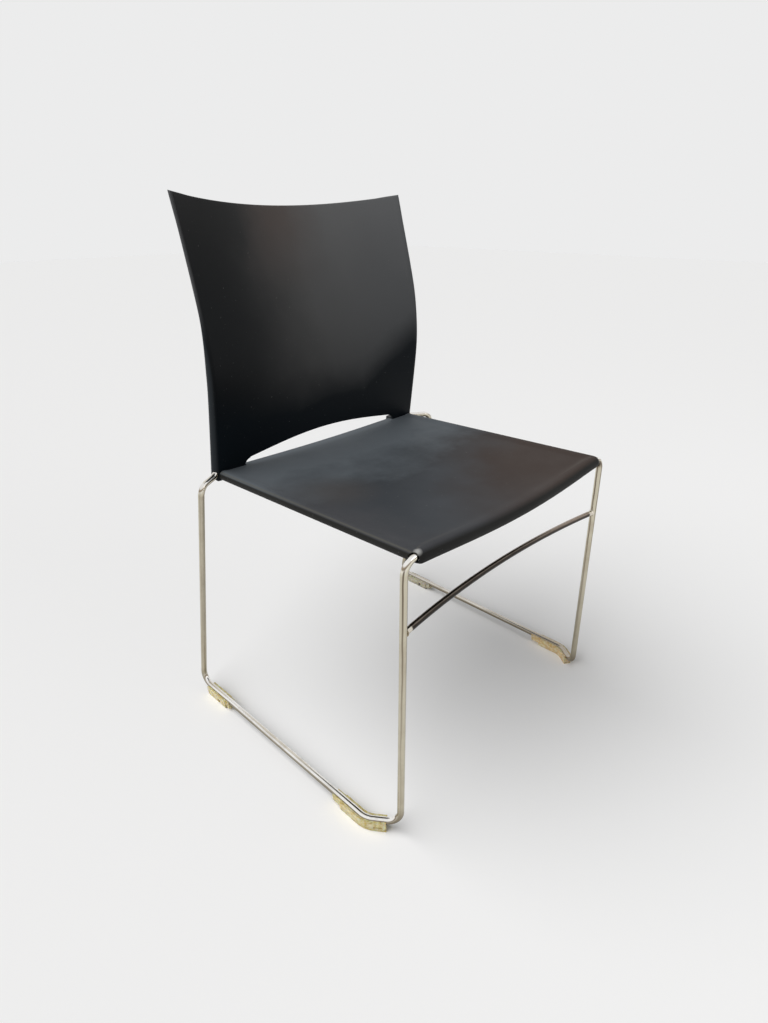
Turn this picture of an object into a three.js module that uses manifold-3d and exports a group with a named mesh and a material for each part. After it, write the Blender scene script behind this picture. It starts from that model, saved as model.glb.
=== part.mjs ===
import * as THREE from 'three';
import { mergeVertices } from 'three/addons/utils/BufferGeometryUtils.js';
import Module from 'manifold-3d';

// Stacking choir chair: a moulded seat and back on a bent rod frame with sled runners.
// Millimetres, +Z up. The chair faces -Y. Y is counted from the plane of the front legs.

// Rods
const legRodDiameter = 10;
const railRodDiameter = 10;
const rearRodDiameter = 9;
const braceRodDiameter = 9;
const weldGap = 0.4;
const buttGap = 0.6;
const fitGap = 0.3;
const overrun = 2;

// Frame. Widths are worked out from the front legs, heights from the front rod.
const frontLegSpan = 486;
const runnerSplay = 30;
const railInset = 22;
const backInset = 8;
const noseStubLength = 29;
const runnerHeight = 16;
const frontRodHeight = 438.5;
const seatFall = 13.5;
const rearRodSetback = 423;
const rearFootReach = 46;
const rearLegTopForward = 26.5;
const jogSetback = 40;
const footBendRadius = 20;
const jogBendRadius = 30;
const frontTopBendRadius = 18;
const rearTopBendRadius = 14;
const uprightBendRadius = 16;
const uprightRise = 165;
const braceDrop = 100.7;
const braceBow = 18;

// Seat
const rollWall = 2.7;
const rearRollWall = 2.2;
const noseWall = 3.3;
const hookClearance = 0.6;
const noseBoreClearance = 3.4;
const noseDrop = 1;
const panThickness = 4;
const panRise = 6;
const hookLipRise = 1.5;
const noseBowForward = 6;
const noseBowDown = 7;
const rearBowDown = 3.5;
const bowPower = 1.4;
const dishFront = 5.5;
const dishMiddle = 7.3;
const dishRear = 1.5;
const seatCornerRadius = 14;
const notchClearance = 1.5;

// Back, with heights counted from the rear rod
const backRise = 421.4;
const backFlare = 1;
const flareHeight = 55;
const backThickness = 4.5;
const topEdgeDip = 18.4;
const lumbarRise = 165;
const lumbarForward = 24;
const lowerLeanShare = 0.125;
const lowerEase = 30;
const upperLeanShare = 0.31;
const upperEase = 80;
const topHollow = 65;
const earlyHollowShare = 1.35;
const archFootRise = 9.4;
const archRise = 22.9;
const archSquareShare = 0.375;
const edgeHoldPower = 8;
const boreClearance = 1;
const sleeveWall = 4;
const skinLap = 1;
const sleeveTaperLap = 5;
const sleeveTaperLength = 105;
const footDrop = 9;
const footBlockRise = 8;
const footWidth = 57;
const footFillet = 12;
const footChamfer = 5;
const snapSlotWidth = 6;

// Glides
const glideWall = 3;
const glideSoleTaper = 3;
const glideLipRise = 1.5;
const frontGlideRun = 48;
const frontGlideTabLength = 17;
const rearGlideInset = 24;
const rearGlideLength = 55;
const rearGlideTabLength = 10;
const rearGlideSlotInset = 17;
const rearGlideSlotLength = 5;
const glideTabWall = 1.5;
const glideTabSole = 4;
const glideWindowLength = 12;
const glideWindowHeight = 3;
const glideWindowDepth = 2;
const glideWindowInset = 12;

// Screws and lugs
const lugSetbackShares = [0.26, 0.78];
const lugReach = 21;
const lugLength = 18;
const lugThickness = 3;
const lugDrop = 1;
const seatBossDiameter = 12;
const seatScrewInset = 15;
const screwDiameter = 4;
const screwHoleClearance = 1;
const screwPilotClearance = 0.6;
const screwHeadDiameter = 8.5;
const screwHeadHeight = 2.6;
const seatScrewLength = 8.5;
const backScrewRise = 75;
const backScrewLength = 10;
const backScrewRecess = 1.2;

// Mesh fineness
const rodSides = 12;
const rollSides = 16;
const boreSides = 12;
const bendStep = Math.PI / 12;
const bowSteps = 16;
const panelColumns = 18;
const panelRows = 20;
const panColumns = 16;
const panRows = 12;
const arcSteps = 6;
const fewestBendSteps = 2;
const mergeTolerance = 1e-3;

// Widths
const legRadius = legRodDiameter / 2;
const railRadius = railRodDiameter / 2;
const braceRadius = braceRodDiameter / 2;
const rearRodRadius = rearRodDiameter / 2;
const railBoreRadius = railRadius + hookClearance / 2;
const rearBoreRadius = rearRodRadius + hookClearance / 2;
const noseBoreRadius = legRadius + noseBoreClearance / 2;
const rollRadius = railBoreRadius + rollWall;
const rearRollRadius = rearBoreRadius + rearRollWall;
const noseRadius = noseBoreRadius + noseWall;
const uprightBoreRadius = legRadius + boreClearance / 2;
const sleeveRadius = uprightBoreRadius + sleeveWall;
const sleeveDepth = sleeveRadius * 2;
const glideWidth = legRodDiameter + glideWall * 2;
const glideTabWidth = legRodDiameter + glideTabWall * 2;
const screwHoleRadius = (screwDiameter + screwHoleClearance) / 2;
const screwPilotRadius = (screwDiameter + screwPilotClearance) / 2;
const screwHeadBoreRadius = (screwHeadDiameter + screwPilotClearance) / 2;

// Places
const legX = frontLegSpan / 2;
const runnerX = legX + runnerSplay;
const railX = legX - railInset;
const noseStubX = legX - noseStubLength;
const seatHalf = railX + rollRadius;
const bowHalf = seatHalf - panThickness;
const backHalf = legX - backInset;
const uprightX = backHalf - sleeveRadius;
const footInnerX = backHalf - footWidth;
const runnerLength = rearRodSetback + rearFootReach;
const rearRodHeight = frontRodHeight - seatFall;
const braceHeight = frontRodHeight - braceDrop;
const uprightTopHeight = rearRodHeight + uprightRise;
const sleeveTaperFoot = uprightTopHeight - sleeveTaperLap;
const sleeveTaperTop = sleeveTaperFoot + sleeveTaperLength;
const backTopHeight = rearRodHeight + backRise;
const lumbarHeight = rearRodHeight + lumbarRise;
const lumbarSetback = rearRodSetback - lumbarForward;
const archFootHeight = rearRodHeight + archFootRise;
const footHeight = rearRodHeight - footDrop;
const footBlockTop = rearRodHeight + footBlockRise;
const backScrewHeight = rearRodHeight + backScrewRise;
const lugSetbacks = lugSetbackShares.map((share) => share * rearRodSetback);

const chromeMaterial = () =>
  new THREE.MeshStandardMaterial({ color: 0xc9c4b8, roughness: 0.15, metalness: 1 });
const blackPlastic = () =>
  new THREE.MeshStandardMaterial({ color: 0x1d1e20, roughness: 0.5, metalness: 0 });
const glidePlastic = () =>
  new THREE.MeshStandardMaterial({ color: 0xcdbb6e, roughness: 0.35, metalness: 0 });
const zincMaterial = () =>
  new THREE.MeshStandardMaterial({ color: 0x9a9c9f, roughness: 0.35, metalness: 1 });

// A path that keeps only the stations where a rod starts, ends or bends
class StationPath extends THREE.Curve {
  constructor(stations) {
    super();
    this.stations = stations;
  }
  at(u) {
    return this.stations[Math.round(u * (this.stations.length - 1))];
  }
  getPoint(u, target = new THREE.Vector3()) {
    return target.copy(this.at(u).point);
  }
  getPointAt(u, target) {
    return this.getPoint(u, target);
  }
  getTangentAt(u, target = new THREE.Vector3()) {
    return target.copy(this.at(u).tangent);
  }
}

// Stations of a bent rod: straight runs between corners, each corner an arc of its radius
function bentRodPath(corners) {
  const stations = [];
  const last = corners.length - 1;
  for (let i = 0; i <= last; i += 1) {
    const { point, radius } = corners[i];
    if (i === 0 || i === last) {
      const from = corners[Math.max(i - 1, 0)].point;
      const to = corners[Math.min(i + 1, last)].point;
      stations.push({ point, tangent: to.clone().sub(from).normalize() });
      continue;
    }
    const arrive = point.clone().sub(corners[i - 1].point).normalize();
    const leave = corners[i + 1].point.clone().sub(point).normalize();
    const turn = arrive.angleTo(leave);
    const side = leave.clone().addScaledVector(arrive, -leave.dot(arrive)).normalize();
    const start = point.clone().addScaledVector(arrive, -radius * Math.tan(turn / 2));
    const centre = start.clone().addScaledVector(side, radius);
    const steps = Math.max(fewestBendSteps, Math.round(turn / bendStep));
    for (let k = 0; k <= steps; k += 1) {
      const angle = (turn * k) / steps;
      stations.push({
        point: centre.clone()
          .addScaledVector(side, -radius * Math.cos(angle))
          .addScaledVector(arrive, radius * Math.sin(angle)),
        tangent: arrive.clone().multiplyScalar(Math.cos(angle))
          .addScaledVector(side, Math.sin(angle)),
      });
    }
  }
  return new StationPath(stations);
}

// Stations along a formula for a gently bowed rod
function bowedPath(fromX, toX, place) {
  const stations = [];
  const reach = (toX - fromX) / bowSteps / 2;
  for (let k = 0; k <= bowSteps; k += 1) {
    const x = fromX + ((toX - fromX) * k) / bowSteps;
    const before = place(Math.max(x - reach, fromX));
    const after = place(Math.min(x + reach, toX));
    stations.push({ point: place(x), tangent: after.sub(before).normalize() });
  }
  return new StationPath(stations);
}

function circleShape(radius, sides) {
  const points = [];
  for (let k = 0; k < sides; k += 1) {
    const angle = (2 * Math.PI * k) / sides;
    points.push(new THREE.Vector2(radius * Math.cos(angle), radius * Math.sin(angle)));
  }
  return new THREE.Shape(points);
}

function sweep(shape, path) {
  return new THREE.ExtrudeGeometry(shape, {
    steps: path.stations.length - 1,
    extrudePath: path,
  });
}

function rod(radius, path, sides = rodSides) {
  return sweep(circleShape(radius, sides), path);
}

function box(minX, maxX, minY, maxY, minZ, maxZ) {
  const geometry = new THREE.BoxGeometry(maxX - minX, maxY - minY, maxZ - minZ);
  geometry.translate((minX + maxX) / 2, (minY + maxY) / 2, (minZ + maxZ) / 2);
  return geometry;
}

function bent(geometry, place) {
  const position = geometry.attributes.position;
  const point = new THREE.Vector3();
  for (let i = 0; i < position.count; i += 1) {
    point.fromBufferAttribute(position, i);
    place(point);
    position.setXYZ(i, point.x, point.y, point.z);
  }
  return geometry;
}

function mirrored(geometry) {
  const copy = geometry.clone();
  copy.scale(-1, 1, 1);
  const position = copy.attributes.position;
  const index = copy.index ? Array.from(copy.index.array) : [...Array(position.count).keys()];
  for (let i = 0; i < index.length; i += 3) {
    [index[i], index[i + 1]] = [index[i + 1], index[i]];
  }
  copy.setIndex(index);
  return copy;
}

// Joins and cuts
const wasm = await Module();
wasm.setup();

function solidOf(geometry) {
  const bare = geometry.clone();
  bare.deleteAttribute('normal');
  bare.deleteAttribute('uv');
  const merged = mergeVertices(bare, mergeTolerance);
  return new wasm.Manifold(new wasm.Mesh({
    numProp: 3,
    vertProperties: new Float32Array(merged.attributes.position.array),
    triVerts: new Uint32Array(merged.index.array),
  }));
}

function geometryOf(solid) {
  const mesh = solid.getMesh();
  const geometry = new THREE.BufferGeometry();
  geometry.setAttribute('position', new THREE.BufferAttribute(mesh.vertProperties, 3));
  geometry.setIndex(new THREE.BufferAttribute(mesh.triVerts, 1));
  return geometry;
}

function joined(parts, cuts = []) {
  let solid = solidOf(parts[0]);
  for (const part of parts.slice(1)) {
    solid = solid.add(solidOf(part));
  }
  for (const cut of cuts) {
    solid = solid.subtract(solidOf(cut));
  }
  return geometryOf(solid);
}

// Bow of the seat's front and rear edges: none at the sides, full in the middle
function bowShare(x) {
  return Math.max(0, 1 - (x / bowHalf) ** 2) ** bowPower;
}

function frontRodPlace(x) {
  return new THREE.Vector3(
    x,
    -noseBowForward * bowShare(x),
    frontRodHeight - noseBowDown * bowShare(x),
  );
}

function rearRodPlace(x) {
  return new THREE.Vector3(x, rearRodSetback, rearRodHeight - rearBowDown * bowShare(x));
}

function railHeight(y) {
  return frontRodHeight + ((rearRodHeight - frontRodHeight) * y) / rearRodSetback;
}

// Height of the seat's top face
function panTop(x, y) {
  const along = y / rearRodSetback;
  const slope = 4 * dishMiddle - 3 * dishFront - dishRear;
  const curve = 2 * dishFront + 2 * dishRear - 4 * dishMiddle;
  const dish = dishFront + slope * along + curve * along ** 2;
  const across = 1 - Math.min(1, Math.abs(x) / (railX - panRise)) ** 2;
  return railHeight(y) + panRise - dish * across;
}

// Front face of the back: a hollow shell that leans forward to the lumbar line, then back
function edgeSetback(z) {
  const above = z - lumbarHeight;
  const lean = above > 0 ? upperLeanShare : lowerLeanShare;
  const ease = above > 0 ? upperEase : lowerEase;
  return lumbarSetback + lean * (Math.hypot(ease, above) - ease);
}

function hollow(z) {
  const share = Math.max(0, (z - archFootHeight) / (backTopHeight - archFootHeight));
  return topHollow * (earlyHollowShare * share - (earlyHollowShare - 1) * share ** 2);
}

function backHalfAt(z) {
  const share = THREE.MathUtils.smoothstep(z, backTopHeight - flareHeight, backTopHeight);
  return backHalf + backFlare * share;
}

function backFront(x, z) {
  return edgeSetback(z) + hollow(z) * (1 - (x / backHalf) ** 2);
}

function backTop(x) {
  return backTopHeight - topEdgeDip * (1 - (x / backHalf) ** 2);
}

function backArch(x) {
  const across = 1 - (x / backHalf) ** 2;
  return archFootHeight
    + archRise * (archSquareShare * across + (1 - archSquareShare) * across ** 2);
}

// The upright runs up the middle of the sleeve, the sleeve's front face being the back's
function uprightSetback(z) {
  return backFront(uprightX, z) + sleeveRadius;
}

// The bends of one side frame, on +X
function sideFrameCorners() {
  const point = (x, y, z, radius = 0) => ({ point: new THREE.Vector3(x, y, z), radius });
  return [
    point(noseStubX, 0, frontRodHeight),
    point(legX, 0, frontRodHeight, frontTopBendRadius),
    point(legX, 0, runnerHeight, footBendRadius),
    point(runnerX, jogSetback, runnerHeight, jogBendRadius),
    point(runnerX, runnerLength, runnerHeight, footBendRadius),
    point(runnerX, rearRodSetback - rearLegTopForward, rearRodHeight, rearTopBendRadius),
    point(uprightX, uprightSetback(rearRodHeight), rearRodHeight, uprightBendRadius),
    point(uprightX, uprightSetback(uprightTopHeight), uprightTopHeight),
  ];
}

const sideFramePath = bentRodPath(sideFrameCorners());

// The same line, run on past the upright's tip
function boreCorners() {
  const corners = sideFrameCorners();
  const tip = corners[corners.length - 1].point;
  const lean = tip.clone().sub(corners[corners.length - 2].point).normalize();
  tip.addScaledVector(lean, overrun);
  return corners;
}

function backScrewPlace() {
  return new THREE.Vector3(
    uprightX,
    backFront(uprightX, backScrewHeight) + sleeveDepth - backScrewRecess,
    backScrewHeight,
  );
}

// A plain cylinder from one point to another
function pin(radius, from, to) {
  const cylinder = new THREE.CylinderGeometry(radius, radius, from.distanceTo(to), boreSides);
  cylinder.applyQuaternion(new THREE.Quaternion().setFromUnitVectors(
    new THREE.Vector3(0, 1, 0),
    to.clone().sub(from).normalize(),
  ));
  cylinder.translate((from.x + to.x) / 2, (from.y + to.y) / 2, (from.z + to.z) / 2);
  return cylinder;
}

function backScrewHole() {
  const head = backScrewPlace();
  const tip = head.clone();
  tip.y -= backScrewLength + overrun;
  head.y += overrun;
  return pin(screwHoleRadius, head, tip);
}

function sideFrame() {
  return joined([rod(legRadius, sideFramePath)], [backScrewHole()]);
}

function crossRod(radius, place, endX, cuts = []) {
  const path = bowedPath(-endX, endX, place);
  return joined([rod(radius, path)], cuts);
}

function frontCrossRod() {
  return crossRod(legRadius, frontRodPlace, noseStubX - buttGap);
}

// The clear space round a side frame, which the pieces welded to it are cut back to
function frameClearance(gap) {
  const wide = rod(legRadius + gap, sideFramePath);
  return [wide, mirrored(wide)];
}

function rearCrossRod() {
  return crossRod(rearRodRadius, rearRodPlace, uprightX, frameClearance(weldGap));
}

function frontBrace() {
  const place = (x) => new THREE.Vector3(x, braceBow * (1 - (x / legX) ** 2), braceHeight);
  return crossRod(braceRadius, place, legX, frameClearance(weldGap));
}

// A rail along the seat's side with its two screw lugs
function lugTop(y) {
  return railHeight(y) - lugDrop;
}

function railPath(endY = rearRodSetback) {
  const start = new THREE.Vector3(railX, 0, frontRodHeight);
  const end = new THREE.Vector3(railX, endY, railHeight(endY));
  return bentRodPath([{ point: start }, { point: end }]);
}

function seatRail() {
  const rail = rod(railRadius, railPath());
  const lugs = lugSetbacks.map((y) => box(
    railX - lugReach,
    railX,
    y - lugLength / 2,
    y + lugLength / 2,
    lugTop(y) - lugThickness,
    lugTop(y),
  ));
  const holes = lugSetbacks.map((y) => pin(
    screwHoleRadius,
    new THREE.Vector3(railX - seatScrewInset, y, lugTop(y) - lugThickness - overrun),
    new THREE.Vector3(railX - seatScrewInset, y, lugTop(y) + overrun),
  ));
  const frontClear = rod(legRadius + weldGap, bowedPath(-railX, railX, frontRodPlace));
  const rearClear = rod(rearRodRadius + weldGap, bowedPath(-backHalf, backHalf, rearRodPlace));
  return joined([rail, ...lugs], [...holes, frontClear, rearClear, ...frameClearance(weldGap)]);
}

// Seat: a dished pan with its edges hooked over the rods
function seatPan() {
  const slab = new THREE.BoxGeometry(1, 1, 1, panColumns, panRows, 1);
  const half = railX - railRadius / 2;
  return bent(slab, (p) => {
    const x = p.x * 2 * half;
    const front = frontRodPlace(x).y;
    const y = front + (p.y + 1 / 2) * (rearRodSetback - front);
    const bottom = panTop(x, y) - panThickness;
    p.set(x, y, bottom + (p.z + 1 / 2) * panThickness);
  });
}

function nosePlace(x) {
  return frontRodPlace(x).add(new THREE.Vector3(0, 0, -noseDrop));
}

// The room under a hooked edge, where the rod goes in
function hookMouth(side) {
  const mouthDepth = rollRadius + overrun;
  const sideMouth = box(
    side > 0 ? railX - mouthDepth : -railX,
    side > 0 ? railX : mouthDepth - railX,
    0,
    rearRodSetback,
    -mouthDepth,
    hookLipRise,
  );
  return bent(sideMouth, (p) => {
    p.z += railHeight(p.y);
  });
}

function rowMouth(place, fromShare, toShare, depth) {
  const slab = new THREE.BoxGeometry(1, 1, 1, bowSteps, 1, 1);
  return bent(slab, (p) => {
    const at = place(p.x * 2 * seatHalf);
    const low = at.z - depth;
    const high = at.z + hookLipRise;
    const y = at.y + depth * (fromShare + (toShare - fromShare) * (p.y + 1 / 2));
    p.set(at.x, y, low + (high - low) * (p.z + 1 / 2));
  });
}

function seatOutline() {
  const shape = new THREE.Shape();
  const front = -noseBowForward - noseRadius - overrun;
  const rear = rearRodSetback + rearRollRadius + overrun;
  const corner = seatCornerRadius;
  const cornerY = -noseRadius;
  shape.moveTo(-seatHalf, rear);
  shape.lineTo(-seatHalf, cornerY + corner);
  shape.absarc(corner - seatHalf, cornerY + corner, corner, Math.PI, Math.PI * 3 / 2, false);
  shape.lineTo(corner - seatHalf, front);
  shape.lineTo(seatHalf - corner, front);
  shape.lineTo(seatHalf - corner, cornerY);
  shape.absarc(seatHalf - corner, cornerY + corner, corner, -Math.PI / 2, 0, false);
  shape.lineTo(seatHalf, rear);
  const low = Math.min(frontRodHeight, rearRodHeight) - noseRadius * 2 - overrun;
  const high = Math.max(frontRodHeight, rearRodHeight) + noseRadius * 2 + overrun;
  const solid = new THREE.ExtrudeGeometry(shape, {
    depth: high - low,
    bevelEnabled: false,
    curveSegments: arcSteps,
  });
  solid.translate(0, 0, low);
  return solid;
}

function seatBosses() {
  const bosses = [];
  for (const side of [-1, 1]) {
    for (const y of lugSetbacks) {
      const x = side * (railX - seatScrewInset);
      const foot = new THREE.Vector3(x, y, lugTop(y) + fitGap);
      const head = new THREE.Vector3(x, y, panTop(x, y) - panThickness / 2);
      bosses.push(pin(seatBossDiameter / 2, foot, head));
    }
  }
  return bosses;
}

function seatPilotHoles() {
  const holes = [];
  for (const side of [-1, 1]) {
    for (const y of lugSetbacks) {
      const x = side * (railX - seatScrewInset);
      const foot = new THREE.Vector3(x, y, lugTop(y) - overrun);
      const head = new THREE.Vector3(x, y, lugTop(y) - lugThickness + seatScrewLength + fitGap);
      holes.push(pin(screwPilotRadius, foot, head));
    }
  }
  return holes;
}

function seatShell() {
  const notchSetback = backFront(footInnerX, footBlockTop) - notchClearance;
  const roll = rod(rollRadius, railPath(notchSetback), rollSides);
  const nose = rod(noseRadius, bowedPath(-seatHalf, seatHalf, nosePlace), rollSides);
  const rearRoll = rod(rearRollRadius, bowedPath(-railX, railX, rearRodPlace), rollSides);
  const railBore = rod(railBoreRadius, railPath(), boreSides);
  const rodEnd = seatHalf + overrun;
  const noseBore = rod(noseBoreRadius, bowedPath(-rodEnd, rodEnd, frontRodPlace), boreSides);
  const rearBore = rod(rearBoreRadius, bowedPath(-rodEnd, rodEnd, rearRodPlace), boreSides);
  const notch = box(
    footInnerX - notchClearance,
    rodEnd,
    notchSetback,
    rearRodSetback + sleeveDepth,
    rearRodHeight - sleeveDepth,
    rearRodHeight + sleeveDepth,
  );
  let solid = solidOf(joined([seatPan(), roll, mirrored(roll), nose, rearRoll]));
  solid = solid.intersect(solidOf(seatOutline()));
  solid = solid.add(solidOf(joined(seatBosses())));
  const cuts = [
    railBore,
    mirrored(railBore),
    noseBore,
    rearBore,
    notch,
    mirrored(notch),
    hookMouth(1),
    hookMouth(-1),
    rowMouth(frontRodPlace, 0, 1, noseRadius + overrun),
    rowMouth(rearRodPlace, -1, 0, rearRollRadius + overrun),
    ...seatPilotHoles(),
  ];
  for (const cut of cuts) {
    solid = solid.subtract(solidOf(cut));
  }
  return geometryOf(solid);
}

// Back: the hollow panel, its two sleeves and its two foot blocks
function backPanel() {
  const slab = new THREE.BoxGeometry(1, 1, 1, panelColumns, 1, panelRows);
  return bent(slab, (p) => {
    const share = p.x * 2;
    const x = share * backHalf;
    const z = backArch(x) + (p.z + 1 / 2) * (backTop(x) - backArch(x));
    const wide = share * backHalfAt(z);
    const step = backThickness;
    const slopeX = (backFront(x + step, z) - backFront(x - step, z)) / (2 * step);
    const slopeZ = (backFront(x, z + step) - backFront(x, z - step)) / (2 * step);
    const normal = new THREE.Vector3(-slopeX, 1, -slopeZ).normalize();
    const depth = (p.y + 1 / 2) * backThickness;
    const edge = 1 - Math.abs(share) ** edgeHoldPower;
    p.set(
      wide + normal.x * depth * edge,
      backFront(x, z) + normal.y * depth,
      z + normal.z * depth,
    );
  });
}

// A column down the back's side edge, from inside the panel to a rounded rear.
// Its depth eases further up until it ends inside the panel.
function columnSection(minX) {
  const shape = new THREE.Shape();
  const startAngle = Math.asin(skinLap / sleeveRadius - 1);
  shape.moveTo(minX, skinLap);
  shape.absarc(uprightX, sleeveRadius, sleeveRadius, startAngle, Math.PI / 2, false);
  if (minX < uprightX - sleeveRadius) {
    shape.lineTo(minX, sleeveDepth);
  } else {
    shape.absarc(uprightX, sleeveRadius, sleeveRadius, Math.PI / 2, Math.PI, false);
  }
  return shape;
}

function edgeColumn(minX, footZ, topZ, steps) {
  const column = new THREE.ExtrudeGeometry(columnSection(minX), {
    depth: 1,
    steps,
    bevelEnabled: false,
    curveSegments: arcSteps,
  });
  return bent(column, (p) => {
    const z = footZ + p.z * (topZ - footZ);
    const taper = THREE.MathUtils.smoothstep(z, sleeveTaperFoot, sleeveTaperTop);
    const thinShare = (backThickness - skinLap) / sleeveDepth;
    const depth = p.y * (1 - taper * (1 - thinShare));
    p.set(p.x - backHalf + backHalfAt(z), backFront(p.x, z) + depth, z);
  });
}

// The panel's own skin carried down in front of the foot block, with a fillet to the arch
function footSkin() {
  const filletX = footInnerX - footFillet;
  const filletZ = backArch(footInnerX) - footFillet;
  const top = backArch(footInnerX) + footFillet;
  const shape = new THREE.Shape();
  shape.moveTo(backHalf, footHeight);
  shape.lineTo(backHalf, top);
  shape.lineTo(filletX, top);
  shape.lineTo(filletX, backArch(filletX));
  shape.absarc(filletX, filletZ, footFillet, Math.PI / 2, 0, true);
  shape.lineTo(footInnerX, footHeight);
  const skin = new THREE.ExtrudeGeometry(shape, {
    depth: backThickness,
    bevelEnabled: false,
    curveSegments: arcSteps,
  });
  return bent(skin, (p) => {
    const depth = backThickness - p.z;
    p.set(p.x, backFront(p.x, p.y) + depth, p.y);
  });
}

// Slots under the foot block, so that the back can be pressed down over the rods
function footSlots() {
  const corners = sideFrameCorners();
  const inner = corners[corners.length - 2].point;
  const outer = corners[corners.length - 3].point;
  const half = snapSlotWidth / 2;
  const rodSlot = box(0, outer.distanceTo(inner), -half, half, -footDrop - overrun, 0);
  rodSlot.rotateZ(Math.atan2(inner.y - outer.y, inner.x - outer.x));
  rodSlot.translate(outer.x, outer.y, rearRodHeight);
  const crossSlot = box(
    footInnerX - overrun,
    uprightX,
    rearRodSetback - half,
    rearRodSetback + half,
    footHeight - overrun,
    rearRodHeight,
  );
  const railSlot = box(
    railX - railBoreRadius,
    railX + railBoreRadius,
    lumbarSetback,
    rearRodSetback,
    footHeight - overrun,
    railHeight(lumbarSetback),
  );
  return [rodSlot, crossSlot, railSlot];
}

function footChamferCut() {
  const side = footChamfer * Math.SQRT2;
  const cut = box(-side, side, -sleeveDepth, sleeveDepth, -side / 2, side / 2);
  cut.rotateY(Math.PI / 4);
  const reach = side / 2 * Math.SQRT1_2;
  cut.translate(
    backHalf - footChamfer / 2 + reach,
    backFront(backHalf, footHeight) + sleeveRadius,
    footHeight + footChamfer / 2 - reach,
  );
  return cut;
}

function backShell() {
  const sleeve = edgeColumn(uprightX, footBlockTop, sleeveTaperTop, panelRows);
  const block = edgeColumn(footInnerX, footHeight, footBlockTop, 1);
  const skin = footSkin();
  const boreEnd = uprightX + overrun;
  const bore = rod(uprightBoreRadius, bentRodPath(boreCorners()), boreSides);
  const crossBore = rod(rearBoreRadius, bowedPath(-boreEnd, boreEnd, rearRodPlace), boreSides);
  const railBore = rod(railBoreRadius, railPath(rearRodSetback + overrun), boreSides);
  const head = backScrewPlace();
  const headFar = head.clone();
  headFar.y += sleeveDepth;
  const counterbore = pin(screwHeadBoreRadius, head, headFar);
  const rightCuts = [bore, railBore, footChamferCut(), counterbore, backScrewHole(), ...footSlots()];
  const cuts = [];
  for (const cut of rightCuts) {
    cuts.push(cut, mirrored(cut));
  }
  return joined(
    [backPanel(), sleeve, mirrored(sleeve), block, mirrored(block), skin, mirrored(skin)],
    [...cuts, crossBore],
  );
}

// Glides: a sole under the rod with lips that grip its sides
function glideShape(width, soleHeight) {
  const shape = new THREE.Shape();
  const soleWidth = width - glideSoleTaper;
  const top = runnerHeight + glideLipRise;
  shape.moveTo(-soleWidth / 2, soleHeight);
  shape.lineTo(soleWidth / 2, soleHeight);
  shape.lineTo(width / 2, runnerHeight - legRadius / 2);
  shape.lineTo(width / 2, top);
  shape.lineTo(-width / 2, top);
  shape.lineTo(-width / 2, runnerHeight - legRadius / 2);
  shape.closePath();
  return shape;
}

// A flat run of glide along the runner from one point to the next, seen from above
function glideRun(points, radii, shape) {
  const corners = points.map((p, i) => ({
    point: new THREE.Vector3(p[0], p[1], 0),
    radius: radii[i],
  }));
  const path = bentRodPath(corners);
  const solid = new THREE.ExtrudeGeometry(shape, {
    depth: 1,
    steps: path.stations.length - 1,
    bevelEnabled: false,
  });
  const last = path.stations.length - 1;
  return bent(solid, (p) => {
    const { point, tangent } = path.stations[Math.round(p.z * last)];
    const side = p.x;
    const height = p.y;
    p.set(point.x - tangent.y * side, point.y + tangent.x * side, height);
  });
}

function jogDirection() {
  return new THREE.Vector2(legX - runnerX, -jogSetback).normalize();
}

function frontGlide() {
  const toFoot = jogDirection();
  const jogLength = Math.hypot(legX - runnerX, jogSetback) - footBendRadius;
  const endX = runnerX + toFoot.x * jogLength;
  const endY = jogSetback + toFoot.y * jogLength;
  const rearY = jogSetback + frontGlideRun;
  const body = glideRun(
    [[runnerX, rearY], [runnerX, jogSetback], [endX, endY]],
    [0, jogBendRadius, 0],
    glideShape(glideWidth, 0),
  );
  const tab = glideRun(
    [[runnerX, rearY + frontGlideTabLength], [runnerX, rearY - overrun]],
    [0, 0],
    glideShape(glideTabWidth, glideTabSole),
  );
  const bore = rod(legRadius + fitGap, sideFramePath);
  const outward = new THREE.Vector2(-toFoot.y, toFoot.x);
  const window = box(
    -glideWindowLength / 2,
    glideWindowLength / 2,
    -glideWindowDepth,
    glideWindowDepth,
    -glideWindowHeight / 2,
    glideWindowHeight / 2,
  );
  window.rotateZ(Math.atan2(toFoot.y, toFoot.x));
  window.translate(
    endX - toFoot.x * glideWindowInset + outward.x * glideWidth / 2,
    endY - toFoot.y * glideWindowInset + outward.y * glideWidth / 2,
    runnerHeight / 2,
  );
  return joined([body, tab], [bore, window]);
}

function rearGlide() {
  const rearY = runnerLength - rearGlideInset;
  const frontY = rearY - rearGlideLength;
  const body = glideRun(
    [[runnerX, rearY], [runnerX, frontY]],
    [0, 0],
    glideShape(glideWidth, 0),
  );
  const tab = glideRun(
    [[runnerX, frontY + overrun], [runnerX, frontY - rearGlideTabLength]],
    [0, 0],
    glideShape(glideTabWidth, glideTabSole),
  );
  const bore = rod(legRadius + fitGap, sideFramePath);
  const slot = box(
    runnerX - glideWidth,
    runnerX + glideWidth,
    frontY + rearGlideSlotInset,
    frontY + rearGlideSlotInset + rearGlideSlotLength,
    -overrun,
    runnerHeight - legRadius - overrun,
  );
  return joined([body, tab], [bore, slot]);
}

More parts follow.
